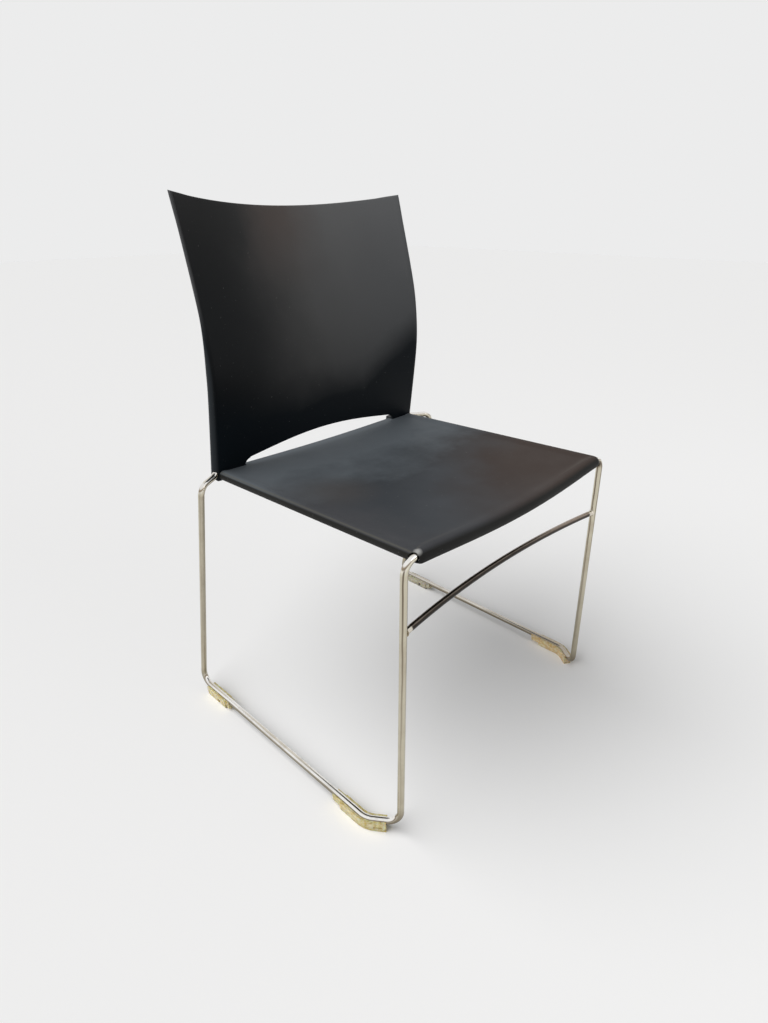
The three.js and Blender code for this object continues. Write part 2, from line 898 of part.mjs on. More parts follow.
// A pan-head screw along +Z with its head's seat at the origin
function screw(length) {
  const headRadius = screwHeadDiameter / 2;
  const shankRadius = screwDiameter / 2;
  const profile = [
    new THREE.Vector2(0, -screwHeadHeight),
    new THREE.Vector2(headRadius - screwHeadHeight / 2, -screwHeadHeight),
    new THREE.Vector2(headRadius, -screwHeadHeight / 2),
    new THREE.Vector2(headRadius, 0),
    new THREE.Vector2(shankRadius, 0),
    new THREE.Vector2(shankRadius, length - shankRadius),
    new THREE.Vector2(0, length),
  ];
  const geometry = new THREE.LatheGeometry(profile, boreSides);
  geometry.rotateX(Math.PI / 2);
  return geometry;
}

const chair = new THREE.Group();

function add(name, geometry, material) {
  const mesh = new THREE.Mesh(geometry, material);
  mesh.name = name;
  chair.add(mesh);
  return mesh;
}

function addPair(name, geometry, material) {
  add(`${name}_right`, geometry, material());
  add(`${name}_left`, mirrored(geometry), material());
}

add('seat_shell', seatShell(), blackPlastic());
add('back_shell', backShell(), blackPlastic());
addPair('side_frame', sideFrame(), chromeMaterial);
add('front_cross_rod', frontCrossRod(), chromeMaterial());
add('rear_cross_rod', rearCrossRod(), chromeMaterial());
addPair('seat_rail', seatRail(), chromeMaterial);
add('front_brace', frontBrace(), chromeMaterial());
addPair('front_glide', frontGlide(), glidePlastic);
addPair('rear_glide', rearGlide(), glidePlastic);

for (const [side, sign] of [['right', 1], ['left', -1]]) {
  lugSetbacks.forEach((y, i) => {
    const seatScrew = add(`seat_screw_${side}_${i + 1}`, screw(seatScrewLength), zincMaterial());
    seatScrew.position.set(
      sign * (railX - seatScrewInset),
      y,
      lugTop(y) - lugThickness - fitGap,
    );
  });
  const place = backScrewPlace();
  const backScrew = add(`back_screw_${side}`, screw(backScrewLength), zincMaterial());
  backScrew.rotation.x = Math.PI / 2;
  backScrew.position.set(sign * place.x, place.y + fitGap, place.z);
}

// Origin on the floor, in the middle of the chair's footprint
const extent = new THREE.Box3().setFromObject(chair);
chair.position.y = -(extent.min.y + extent.max.y) / 2;

export default chair;
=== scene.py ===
import math

import bmesh
import bpy
from mathutils import Matrix, Vector

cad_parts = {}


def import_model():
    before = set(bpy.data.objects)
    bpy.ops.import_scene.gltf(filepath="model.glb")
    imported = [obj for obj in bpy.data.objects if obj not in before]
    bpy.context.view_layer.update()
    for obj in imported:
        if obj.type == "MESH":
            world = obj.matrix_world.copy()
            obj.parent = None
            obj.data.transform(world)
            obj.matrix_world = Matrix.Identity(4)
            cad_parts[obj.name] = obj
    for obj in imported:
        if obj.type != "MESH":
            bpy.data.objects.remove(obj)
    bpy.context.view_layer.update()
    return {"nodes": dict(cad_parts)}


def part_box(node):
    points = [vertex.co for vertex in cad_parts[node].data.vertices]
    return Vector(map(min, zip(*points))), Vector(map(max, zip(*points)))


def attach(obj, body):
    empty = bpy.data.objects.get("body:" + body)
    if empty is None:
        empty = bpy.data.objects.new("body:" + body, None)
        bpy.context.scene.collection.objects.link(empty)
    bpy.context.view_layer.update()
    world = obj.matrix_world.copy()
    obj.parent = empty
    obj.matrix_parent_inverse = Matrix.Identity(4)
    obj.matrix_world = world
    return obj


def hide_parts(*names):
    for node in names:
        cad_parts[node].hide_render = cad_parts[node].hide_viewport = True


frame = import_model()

# Stacking choir chair: black moulded seat and back on a chromed bent rod frame.
# Sizes are millimetres, +Z up, the chair faces -Y, and Y is counted from the front legs.
MM = 0.001

# MERGED: points this near become one. PAST: how far a cutter runs past what it cuts.
# SLACK: the gap round a screw or at a rod's end. SHARP_ANGLE: above it an edge looks sharp.
MERGED = 0.002
PAST = 2.0
SLACK = 0.3
SHARP_ANGLE = math.radians(32)

# Rods
LEG_RADIUS = 5.0
RAIL_RADIUS = 5.0
REAR_ROD_RADIUS = 4.5
BRACE_RADIUS = 4.5
RUNNER_LENGTH = 469.0
LEG_X = 243.0
RUNNER_X = 273.0
RUNNER_HEIGHT = 16.0
FRONT_ROD_HEIGHT = 438.5
REAR_ROD_HEIGHT = 425.0
REAR_ROD_SETBACK = 423.0
REAR_LEG_TOP_SETBACK = 396.5
JOG_SETBACK = 40.0
FOOT_BEND = 20.0
JOG_BEND = 30.0
FRONT_TOP_BEND = 18.0
REAR_TOP_BEND = 14.0
UPRIGHT_BEND = 16.0
UPRIGHT_TOP = 590.0
STUB_X = 214.0
BRACE_HEIGHT = 337.8
BRACE_BOW = 18.0
REAR_ROD_SHORT = 3.0
FEWEST_BEND_STEPS = 4

# Beads of weld: they start inside the leg, aim along the brace and swell towards the leg
WELD_DEPTH = 0.6
WELD_AIM = 12.0
WELD_LENGTH = 2.6
WELD_SWELL, WELD_EASE = 1.3, 1.6
WELD_SKIN = 0.02

# Seat
RAIL_X = 221.0
SEAT_HALF = 229.0
SEAT_RIM = 14.0
ROLL_RADIUS = 8.0
REAR_ROLL_RADIUS = 7.0
NOSE_RADIUS = 10.0
NOSE_DROP = 1.0
NOSE_BORE = 6.7
RAIL_BORE = 5.3
REAR_BORE = 4.8
PAN_RISE = 6.0
PAN_THICKNESS = 4.0
NOSE_BOW_FORWARD = 6.0
NOSE_BOW_DOWN = 7.0
REAR_BOW_DOWN = 3.5
DISH_FRONT = 5.5
DISH_MIDDLE = 7.3
DISH_REAR = 1.5
BOW_HALF = 225.0
BOW_POWER = 1.4
RIM_BLEND = 18.0
LIP_INSET = 0.7
NOTCH_X = 176.0
NOTCH_SETBACK = 414.0
NOTCH_REACH = 20.0
MOUTH_X = 206.0
PAST_SEAT = 4.0

# Back
BACK_HALF = 235.0
BACK_FLARE = 1.0
FLARE_HEIGHT = 55.0
BACK_THICKNESS = 4.5
BACK_TOP = 846.4
TOP_DIP = 18.4
LUMBAR_HEIGHT = 590.0
LUMBAR_SETBACK = 399.0
LOWER_LEAN, LOWER_EASE = 0.125, 30.0
UPPER_LEAN, UPPER_EASE = 0.31, 80.0
TOP_HOLLOW = 65.0
HOLLOW_EARLY = 1.35
ARCH_FOOT = 434.4
ARCH_RISE = 22.9
ARCH_SQUARE = 0.375
SLEEVE_RADIUS = 9.5
TAPER_FOOT, TAPER_TOP = 585.0, 690.0
STRAIGHT_FROM, STRAIGHT_TO = 190.0, 212.0
SIDE_SQUARE = 8
FOOT_HEIGHT = 416.0
FOOT_BLOCK_TOP = 433.0
FOOT_BLOCK_FRONT, FOOT_BLOCK_INSET = 2.0, 0.05
FOOT_X = 178.0
FOOT_FILLET = 12.0
FOOT_CHAMFER = 5.0
UPRIGHT_X = BACK_HALF - SLEEVE_RADIUS
UPRIGHT_BORE = 5.5

# Screws and lugs
LUG_SETBACKS = (109.98, 329.94)
LUG_REACH = 21.0
LUG_LENGTH = 18.0
LUG_THICKNESS = 3.0
LUG_DROP = 1.0
LUG_HOLE_RADIUS, LUG_HOLE_REACH = 2.5, 6.0
BOSS_RADIUS = 6.0
SEAT_SCREW_X = RAIL_X - 15.0
SCREW_RADIUS = 2.0
SCREW_HEAD_RADIUS = 4.25
SCREW_HEAD_HEIGHT = 2.6
SCREW_HEAD_WALL, SCREW_HEAD_ROUND = 1.0, 1.9
SCREW_SHOULDER = 0.01
SCREW_POINT, SCREW_TIP_RADIUS = 2.0, 0.02
RECESS_DEPTH, RECESS_PAST = 1.3, 1.0
RECESS_ARM, RECESS_HALF = 2.1, 0.45
SEAT_SCREW_LENGTH = 8.5
BACK_SCREW_HEIGHT = 500.0
BACK_SCREW_LENGTH = 10.0
BACK_SCREW_RECESS = 1.2
BACK_SCREW_WELL = 20.0

SIDES = ((1, "right"), (-1, "left"))

screw_low, screw_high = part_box("seat_screw_right_1")
FRONT_PLANE = (screw_low.y + screw_high.y) / 2 - LUG_SETBACKS[0] * MM


def world(point):
    """A point in millimetres from the front legs, as a place in the model's frame."""
    return Vector((point[0] * MM, FRONT_PLANE + point[1] * MM, point[2] * MM))


def smoothstep(value, low, high):
    t = min(1.0, max(0.0, (value - low) / (high - low)))
    return t * t * (3 - 2 * t)


def mix(a, b, share):
    return a + (b - a) * share


# Mesh making
def added(name, data):
    """A new object in the scene."""
    obj = bpy.data.objects.new(name, data)
    bpy.context.scene.collection.objects.link(obj)
    return obj


def solid(name, points, faces):
    """A closed mesh object from points in millimetres."""
    mesh = bpy.data.meshes.new(name)
    mesh.from_pydata([world(p) for p in points], [], faces)
    bm = bmesh.new()
    bm.from_mesh(mesh)
    bmesh.ops.remove_doubles(bm, verts=bm.verts, dist=MERGED * MM)
    bmesh.ops.recalc_face_normals(bm, faces=bm.faces)
    bm.to_mesh(mesh)
    bm.free()
    return added(name, mesh)


def walls(rings, count):
    """Faces between rings of count points, one ring after another."""
    faces = []
    for i in range(rings - 1):
        for k in range(count):
            n = (k + 1) % count
            faces.append((i * count + k, i * count + n, (i + 1) * count + n, (i + 1) * count + k))
    return faces


def combined(obj, others, operation):
    """obj joined with the others, or cut by them."""
    for other in others:
        step = obj.modifiers.new("step", "BOOLEAN")
        step.operation = operation
        step.solver = "MANIFOLD"
        step.object = other
    graph = bpy.context.evaluated_depsgraph_get()
    mesh = bpy.data.meshes.new_from_object(obj.evaluated_get(graph))
    obj.modifiers.clear()
    obj.data = mesh
    for other in others:
        bpy.data.objects.remove(other)
    return obj


# Rods
def rod_stations(corners, step=math.radians(4)):
    """Points and directions down a bent rod. Each corner is a point and a bend radius."""
    stations = []
    last = len(corners) - 1
    for i, (point, radius) in enumerate(corners):
        point = Vector(point)
        if i in (0, last):
            start = Vector(corners[max(i - 1, 0)][0])
            end = Vector(corners[min(i + 1, last)][0])
            stations.append((point, (end - start).normalized()))
            continue
        arrive = (point - Vector(corners[i - 1][0])).normalized()
        leave = (Vector(corners[i + 1][0]) - point).normalized()
        turn = arrive.angle(leave)
        side = (leave - arrive * leave.dot(arrive)).normalized()
        centre = point - arrive * radius * math.tan(turn / 2) + side * radius
        steps = max(FEWEST_BEND_STEPS, round(turn / step))
        for k in range(steps + 1):
            a = turn * k / steps
            place = centre - side * radius * math.cos(a) + arrive * radius * math.sin(a)
            stations.append((place, arrive * math.cos(a) + side * math.sin(a)))
    return stations


def bowed_stations(from_x, to_x, place, steps=48):
    """Points and directions down a line across the chair, whose place depends on x."""
    points = [Vector(place(mix(from_x, to_x, k / steps))) for k in range(steps + 1)]
    stations = []
    for k, point in enumerate(points):
        before, after = points[max(k - 1, 0)], points[min(k + 1, steps)]
        stations.append((point, (after - before).normalized()))
    return stations


def sweep(name, stations, radii, sides=32):
    """A round bar along the stations, with one radius or one for each station."""
    if not isinstance(radii, (list, tuple)):
        radii = [radii] * len(stations)
    points = []
    across = stations[0][1].orthogonal().normalized()
    before = stations[0][1]
    for (centre, tangent), radius in zip(stations, radii):
        across = before.rotation_difference(tangent) @ across
        across = (across - tangent * across.dot(tangent)).normalized()
        other = tangent.cross(across)
        before = tangent
        for k in range(sides):
            a = 2 * math.pi * k / sides
            points.append(centre + (across * math.cos(a) + other * math.sin(a)) * radius)
    rings = len(stations)
    faces = walls(rings, sides)
    faces.append(tuple(range(sides - 1, -1, -1)))
    faces.append(tuple(range((rings - 1) * sides, rings * sides)))
    return solid(name, points, faces)


def flipped(stations):
    """The same stations on the other side of the chair."""
    turn = Vector((-1, 1, 1))
    return [(p * turn, t * turn) for p, t in stations]


def block(name, low, high):
    (x0, y0, z0), (x1, y1, z1) = low, high
    points = [(x, y, z) for z in (z0, z1) for y in (y0, y1) for x in (x0, x1)]
    faces = [(0, 2, 3, 1), (4, 5, 7, 6), (0, 1, 5, 4), (1, 3, 7, 5), (3, 2, 6, 7), (2, 0, 4, 6)]
    return solid(name, points, faces)


def pin(name, foot, head, radius):
    """A straight round bar from foot to head."""
    foot, head = Vector(foot), Vector(head)
    along = (head - foot).normalized()
    return sweep(name, [(foot, along), (head, along)], radius)


# The seat's lines
def bow_share(x):
    """How much of the full bow there is at x: all in the middle, none at the corners."""
    return max(0.0, 1 - (x / BOW_HALF) ** 2) ** BOW_POWER


def front_rod(x):
    share = bow_share(x)
    return (x, -NOSE_BOW_FORWARD * share, FRONT_ROD_HEIGHT - NOSE_BOW_DOWN * share)


def rear_rod(x):
    return (x, REAR_ROD_SETBACK, REAR_ROD_HEIGHT - REAR_BOW_DOWN * bow_share(x))


def rail_height(y):
    return mix(FRONT_ROD_HEIGHT, REAR_ROD_HEIGHT, y / REAR_ROD_SETBACK)


def pan_top(x, y):
    """The seat's dished top, through its three depths at the front, middle and rear."""
    along = y / REAR_ROD_SETBACK
    slope = 4 * DISH_MIDDLE - 3 * DISH_FRONT - DISH_REAR
    curve = 2 * DISH_FRONT + 2 * DISH_REAR - 4 * DISH_MIDDLE
    dish = DISH_FRONT + slope * along + curve * along**2
    across = 1 - min(1.0, abs(x) / (RAIL_X - PAN_RISE)) ** 2
    return rail_height(y) + PAN_RISE - dish * across


# The back's lines
def edge_setback(z):
    """The back's side edge: upright at the lumbar bend, leaning away above and below it."""
    above = z - LUMBAR_HEIGHT
    lean, ease = (UPPER_LEAN, UPPER_EASE) if above > 0 else (LOWER_LEAN, LOWER_EASE)
    return LUMBAR_SETBACK + lean * (math.hypot(ease, above) - ease)


def hollow(z):
    """How far the back's middle lies behind its side edges."""
    share = max(0.0, (z - ARCH_FOOT) / (BACK_TOP - ARCH_FOOT))
    return TOP_HOLLOW * (HOLLOW_EARLY * share - (HOLLOW_EARLY - 1) * share**2)


def back_half_at(z):
    return BACK_HALF + BACK_FLARE * smoothstep(z, BACK_TOP - FLARE_HEIGHT, BACK_TOP)


def back_front(x, z):
    return edge_setback(z) + hollow(z) * (1 - (x / BACK_HALF) ** 2)


def back_top(x):
    return BACK_TOP - TOP_DIP * (1 - (x / BACK_HALF) ** 2)


def back_arch(x):
    across = 1 - (x / BACK_HALF) ** 2
    return ARCH_FOOT + ARCH_RISE * (ARCH_SQUARE * across + (1 - ARCH_SQUARE) * across**2)


def upright_setback(z):
    return back_front(UPRIGHT_X, z) + SLEEVE_RADIUS


def side_frame_corners():
    """The right side frame: stub, front leg, runner, rear leg and upright."""
    return [
        ((STUB_X, 0, FRONT_ROD_HEIGHT), 0),
        ((LEG_X, 0, FRONT_ROD_HEIGHT), FRONT_TOP_BEND),
        ((LEG_X, 0, RUNNER_HEIGHT), FOOT_BEND),
        ((RUNNER_X, JOG_SETBACK, RUNNER_HEIGHT), JOG_BEND),
        ((RUNNER_X, RUNNER_LENGTH, RUNNER_HEIGHT), FOOT_BEND),
        ((RUNNER_X, REAR_LEG_TOP_SETBACK, REAR_ROD_HEIGHT), REAR_TOP_BEND),
        ((UPRIGHT_X, upright_setback(REAR_ROD_HEIGHT), REAR_ROD_HEIGHT), UPRIGHT_BEND),
        ((UPRIGHT_X, upright_setback(UPRIGHT_TOP), UPRIGHT_TOP), 0),
    ]


# Frame pieces
def lug_top(y):
    return rail_height(y) - LUG_DROP


def seat_rail(side):
    """A rail under the seat's side edge with its two screw lugs."""
    start = Vector((side * RAIL_X, 0, FRONT_ROD_HEIGHT))
    end = Vector((side * RAIL_X, REAR_ROD_SETBACK, REAR_ROD_HEIGHT))
    along = (end - start).normalized()
    rail = sweep("rail", [(start, along), (end, along)], RAIL_RADIUS)
    lugs, holes = [], []
    for y in LUG_SETBACKS:
        top = lug_top(y)
        inner = side * (RAIL_X - LUG_REACH)
        low = (min(inner, side * RAIL_X), y - LUG_LENGTH / 2, top - LUG_THICKNESS)
        high = (max(inner, side * RAIL_X), y + LUG_LENGTH / 2, top)
        lugs.append(block("lug", low, high))
        x = side * SEAT_SCREW_X
        low, high = top - LUG_HOLE_REACH, top + LUG_HOLE_REACH
        holes.append(pin("hole", (x, y, low), (x, y, high), LUG_HOLE_RADIUS))
    return combined(combined(rail, lugs, "UNION"), holes, "DIFFERENCE")


def weld(centre, along):
    """A small bead round the brace where it is welded to a leg."""
    steps = 8
    stations, radii = [], []
    for k in range(steps + 1):
        share = k / steps
        stations.append((centre + along * WELD_LENGTH * share, along))
        radii.append(BRACE_RADIUS + WELD_SWELL * (1 - share) ** WELD_EASE + WELD_SKIN)
    return sweep("bead", stations, radii, sides=40)


# Seat
def rim_column(x, y, out, roll, roll_z, bore, bore_z, leave):
    """One station of the seat's rolled rim: over the roll, round the lip and back inside.

    roll and bore are the radii of the outer and inner round, leave is where the inner one ends.
    """
    top_steps, round_steps = 5, 22
    outer, inner = [], []

    def at(inset, z):
        reach = SEAT_RIM - inset
        return Vector((x + out[0] * reach, y + out[1] * reach, z))

    for k in range(top_steps):
        inset = mix(SEAT_RIM, roll, k / top_steps)
        point = at(inset, 0)
        point.z = lifted_pan(point.x, point.y, inset, roll_z + roll, roll)
        outer.append(point)
    for k in range(round_steps + 1):
        a = math.pi / 2 + math.pi * k / round_steps
        outer.append(at(roll + roll * math.cos(a), roll_z + roll * math.sin(a)))
    lip = (roll + bore - (bore_z - roll_z)) / 2
    outer.append(at(roll + LIP_INSET, roll_z - lip))
    inner.append(at(SEAT_RIM, pan_top(x, y) - PAN_THICKNESS))
    for k in range(round_steps + 1):
        a = mix(leave, 3 * math.pi / 2, k / round_steps)
        inner.append(at(roll + bore * math.cos(a), bore_z + bore * math.sin(a)))
    return outer + list(reversed(inner))


def lifted_pan(x, y, inset, rim_top, roll):
    """The pan's top, eased up to the crown of the rim."""
    base = pan_top(x, y)
    return base + (rim_top - base) * (1 - smoothstep(inset, roll, roll + RIM_BLEND))


def seat_front(x):
    return front_rod(x)[1] - NOSE_RADIUS + SEAT_RIM


def seat_body():
    """A grid for the pan's top and underside, closed by a rolled rim all round."""
    columns, rows, fan = 96, 84, 14
    least = 1e-3
    half = SEAT_HALF - SEAT_RIM
    rear = REAR_ROD_SETBACK + REAR_ROLL_RADIUS - SEAT_RIM
    leave_side, leave_nose = math.radians(22), math.radians(60)

    def side_values(y):
        z = rail_height(y)
        return (ROLL_RADIUS, z, RAIL_BORE, z, leave_side)

    def front_values(x):
        z = front_rod(x)[2]
        return (NOSE_RADIUS, z - NOSE_DROP, NOSE_BORE, z, leave_nose)

    def rear_values(x):
        z = rear_rod(x)[2]
        return (REAR_ROLL_RADIUS, z, REAR_BORE, z, leave_side)

    def grid_x(i):
        return mix(-half, half, i / columns)

    def grid_y(x, j):
        return mix(seat_front(x), rear, j / rows)

    points, faces = [], []
    top, under = {}, {}
    for i in range(columns + 1):
        for j in range(rows + 1):
            x = grid_x(i)
            y = grid_y(x, j)
            to_side = max(half - abs(x), least)
            to_front = max(y - seat_front(x), least)
            to_rear = max(rear - y, least)
            # The nearer an edge is, the more its roll and its crown count
            near = (to_side**-3 + to_front**-3 + to_rear**-3) ** (-1 / 3)
            weights = (to_side**-2, to_front**-2, to_rear**-2)
            picks = (side_values(y), front_values(x), rear_values(x))
            whole = sum(weights)
            roll = sum(w * v[0] for w, v in zip(weights, picks)) / whole
            crown = sum(w * (v[0] + v[1]) for w, v in zip(weights, picks)) / whole
            top[i, j] = len(points)
            points.append(Vector((x, y, lifted_pan(x, y, SEAT_RIM + near, crown, roll))))
            under[i, j] = len(points)
            points.append(Vector((x, y, pan_top(x, y) - PAN_THICKNESS)))
    for i in range(columns):
        for j in range(rows):
            a, b, c, d = (i, j), (i + 1, j), (i + 1, j + 1), (i, j + 1)
            faces.append((top[a], top[b], top[c], top[d]))
            faces.append((under[a], under[d], under[c], under[b]))

    stations = []
    for i in range(columns + 1):
        x = grid_x(i)
        stations.append((i, 0, (0, -1), front_values(x)))
    corner_fan(stations, columns, 0, -90, 0, front_values(half), side_values(seat_front(half)), fan)
    for j in range(rows + 1):
        stations.append((columns, j, (1, 0), side_values(grid_y(half, j))))
    corner_fan(stations, columns, rows, 0, 90, side_values(rear), rear_values(half), fan)
    for i in range(columns, -1, -1):
        stations.append((i, rows, (0, 1), rear_values(grid_x(i))))
    corner_fan(stations, 0, rows, 90, 180, rear_values(-half), side_values(rear), fan)
    for j in range(rows, -1, -1):
        stations.append((0, j, (-1, 0), side_values(grid_y(-half, j))))
    corner_fan(stations, 0, 0, 180, 270, side_values(seat_front(-half)), front_values(-half), fan)

    rim = []
    for i, j, out, values in stations:
        base = points[top[i, j]]
        column = rim_column(base.x, base.y, out, *values)
        indices = [top[i, j]]
        for point in column[1:-1]:
            indices.append(len(points))
            points.append(point)
        indices.append(under[i, j])
        rim.append(indices)
    for k, column in enumerate(rim):
        after = rim[(k + 1) % len(rim)]
        for m in range(len(column) - 1):
            quad = []
            for index in (column[m], column[m + 1], after[m + 1], after[m]):
                if index not in quad:
                    quad.append(index)
            if len(quad) > 2:
                faces.append(tuple(quad))
    return solid("seat_visual", points, faces)


def corner_fan(stations, i, j, from_degrees, to_degrees, start, end, steps):
    """Adds the rim's stations round one corner of the seat."""
    for k in range(1, steps):
        share = k / steps
        a = math.radians(mix(from_degrees, to_degrees, share))
        values = tuple(mix(p, q, smoothstep(share, 0, 1)) for p, q in zip(start, end))
        stations.append((i, j, (math.cos(a), math.sin(a)), values))


def moulded_seat():
    """The seat with its bosses, pilot holes, rear notches and open ends at the front."""
    seat = seat_body()
    bosses, cuts = [], []
    for side in (-1, 1):
        for y in LUG_SETBACKS:
            x = side * SEAT_SCREW_X
            crown = pan_top(x, y) - PAN_THICKNESS / 2
            bosses.append(pin("boss", (x, y, lug_top(y) + SLACK), (x, y, crown), BOSS_RADIUS))
            low = lug_top(y) - PAST
            top = lug_top(y) - LUG_THICKNESS + SEAT_SCREW_LENGTH + SLACK
            cuts.append(pin("pilot", (x, y, low), (x, y, top), SCREW_RADIUS + SLACK))
        beyond = side * (SEAT_HALF + PAST_SEAT)
        low_x, high_x = sorted((side * NOTCH_X, beyond))
        low = (low_x, NOTCH_SETBACK, REAR_ROD_HEIGHT - NOTCH_REACH)
        high = (high_x, REAR_ROD_SETBACK + NOTCH_REACH, REAR_ROD_HEIGHT + NOTCH_REACH)
        cuts.append(block("notch", low, high))
        mouth = bowed_stations(side * MOUTH_X, beyond, front_rod, steps=12)
        cuts.append(sweep("mouth", mouth, NOSE_BORE, sides=40))
    return combined(combined(seat, bosses, "UNION"), cuts, "DIFFERENCE")


# Back
def sleeve_scale(z):
    """The sleeve's depth at a height, against its full depth: it thins out above the upright."""
    thin = BACK_THICKNESS / (2 * SLEEVE_RADIUS)
    return 1 - smoothstep(z, TAPER_FOOT, TAPER_TOP) * (1 - thin)


def back_section():
    """Half of the back's section from front middle to rear middle: side, depth and kind."""
    across, round_steps, fillet_steps, fillet = 30, 20, 6, 4.0
    wall = UPRIGHT_X - SLEEVE_RADIUS
    rear = []
    for k in range(round_steps // 2 + 1):
        a = math.pi / 2 + math.pi * k / round_steps
        x = UPRIGHT_X + SLEEVE_RADIUS * math.cos(a)
        rear.append((x, SLEEVE_RADIUS * (1 + math.sin(a)), "rear"))
    for k in range(1, fillet_steps + 1):
        a = math.pi / 2 * k / fillet_steps
        depth = SLEEVE_RADIUS - (SLEEVE_RADIUS - BACK_THICKNESS) * math.sin(a)
        rear.append((wall - fillet * (1 - math.cos(a)), depth, "rear"))
    for k in range(1, across + 1):
        rear.append(((wall - fillet) * (1 - k / across), BACK_THICKNESS, "slab"))
    front = [(x, 0.0, "front") for x, _, _ in reversed(rear)]
    outer = []
    for k in range(1, round_steps):
        a = math.pi * k / round_steps - math.pi / 2
        x = UPRIGHT_X + SLEEVE_RADIUS * math.cos(a)
        outer.append((x, SLEEVE_RADIUS * (1 + math.sin(a)), "sleeve"))
    return front + outer + rear


def back_point(side, x, depth, kind, z, closing):
    """A point of the back at one height. closing is the turn round the top rim, in radians."""
    if kind in ("sleeve", "rear"):
        depth *= sleeve_scale(z)
    if kind == "rear":
        depth = max(depth, BACK_THICKNESS)
    middle = BACK_THICKNESS / 2
    if closing:
        depth = middle + (depth - middle) * math.cos(closing)
    step = 3.0
    slope_x = (back_front(x + step, z) - back_front(x - step, z)) / (2 * step)
    slope_z = (back_front(x, z + step) - back_front(x, z - step)) / (2 * step)
    normal = Vector((-slope_x, 1, -slope_z)).normalized()
    share = x / BACK_HALF
    plain = smoothstep(x, STRAIGHT_FROM, STRAIGHT_TO)
    sideways = normal.x * depth * (1 - abs(share) ** SIDE_SQUARE) * (1 - plain)
    wide = x * back_half_at(z) / BACK_HALF + sideways
    y = back_front(x, z) + mix(normal.y, 1, plain) * depth
    return Vector((side * wide, y, z + normal.z * (1 - plain) * depth))


def back_body():
    """The back without its arch, bores and foot blocks: rows of its section, closed on top."""
    rows, rim_rows = 84, 6
    half = back_section()
    loop = [(1, *p) for p in half] + [(-1, *p) for p in reversed(half[1:-1])]
    points = []
    middle = BACK_THICKNESS / 2
    levels = [(k / rows, 0.0) for k in range(rows + 1)]
    levels += [(1.0, math.pi / 2 * k / rim_rows) for k in range(1, rim_rows + 1)]
    for share, closing in levels:
        for side, x, depth, kind in loop:
            top = back_top(x) - middle
            z = mix(FOOT_HEIGHT, top, share) + middle * math.sin(closing)
            points.append(back_point(side, x, depth, kind, z, closing))
    count = len(loop)
    return solid("back_visual", points, [*walls(len(levels), count), tuple(range(count))])


def prism(name, outline, low_y, high_y):
    """A closed outline in x and z, run through from one y to another."""
    count = len(outline)
    points = [(x, y, z) for y in (low_y, high_y) for x, z in outline]
    ends = [tuple(range(count)), tuple(range(2 * count - 1, count - 1, -1))]
    return solid(name, points, walls(2, count) + ends)


def arch_cutter():
    """What is cut away below the back, between its feet."""
    arch_steps, fillet_steps = 24, 8
    below, before, behind = 10.0, 40.0, 120.0
    half = []
    inner = FOOT_X - FOOT_FILLET
    for k in range(arch_steps + 1):
        x = inner * k / arch_steps
        half.append((x, back_arch(x)))
    centre = back_arch(FOOT_X) - FOOT_FILLET
    for k in range(1, fillet_steps + 1):
        a = math.pi / 2 * (1 - k / fillet_steps)
        half.append((inner + FOOT_FILLET * math.cos(a), centre + FOOT_FILLET * math.sin(a)))
    half.append((FOOT_X, FOOT_HEIGHT - below))
    outline = half + [(-x, z) for x, z in reversed(half[1:])]
    return prism("arch", outline, LUMBAR_SETBACK - before, LUMBAR_SETBACK + behind)


def foot_block(side):
    """The thick foot behind the back's lower corner."""
    columns = 8
    points, faces = [], []
    for k in range(columns + 1):
        x = mix(FOOT_X, UPRIGHT_X, k / columns)
        for z in (FOOT_HEIGHT, FOOT_BLOCK_TOP):
            for depth in (FOOT_BLOCK_FRONT, 2 * SLEEVE_RADIUS - FOOT_BLOCK_INSET):
                points.append((side * x, back_front(x, z) + depth, z))
    for k in range(columns):
        a, b = 4 * k, 4 * (k + 1)
        for m, n in ((0, 1), (1, 3), (3, 2), (2, 0)):
            faces.append((a + m, a + n, b + n, b + m))
    faces.append((0, 2, 3, 1))
    faces.append((4 * columns, 4 * columns + 1, 4 * columns + 3, 4 * columns + 2))
    return solid("foot", points, faces)


def foot_chamfer(side):
    """What is cut off the foot's lower outer corner."""
    under, before, behind = 1.0, 10.0, 60.0
    outer = side * (BACK_HALF + PAST)
    inner = side * (BACK_HALF - FOOT_CHAMFER)
    outline = [
        (inner - side * under, FOOT_HEIGHT - under),
        (outer, FOOT_HEIGHT - under),
        (outer, FOOT_HEIGHT + FOOT_CHAMFER + PAST),
    ]
    return prism("chamfer", outline, LUMBAR_SETBACK - before, LUMBAR_SETBACK + behind)


def back_screw_place(side):
    y = back_front(UPRIGHT_X, BACK_SCREW_HEIGHT) + 2 * SLEEVE_RADIUS - BACK_SCREW_RECESS
    return Vector((side * UPRIGHT_X, y, BACK_SCREW_HEIGHT))


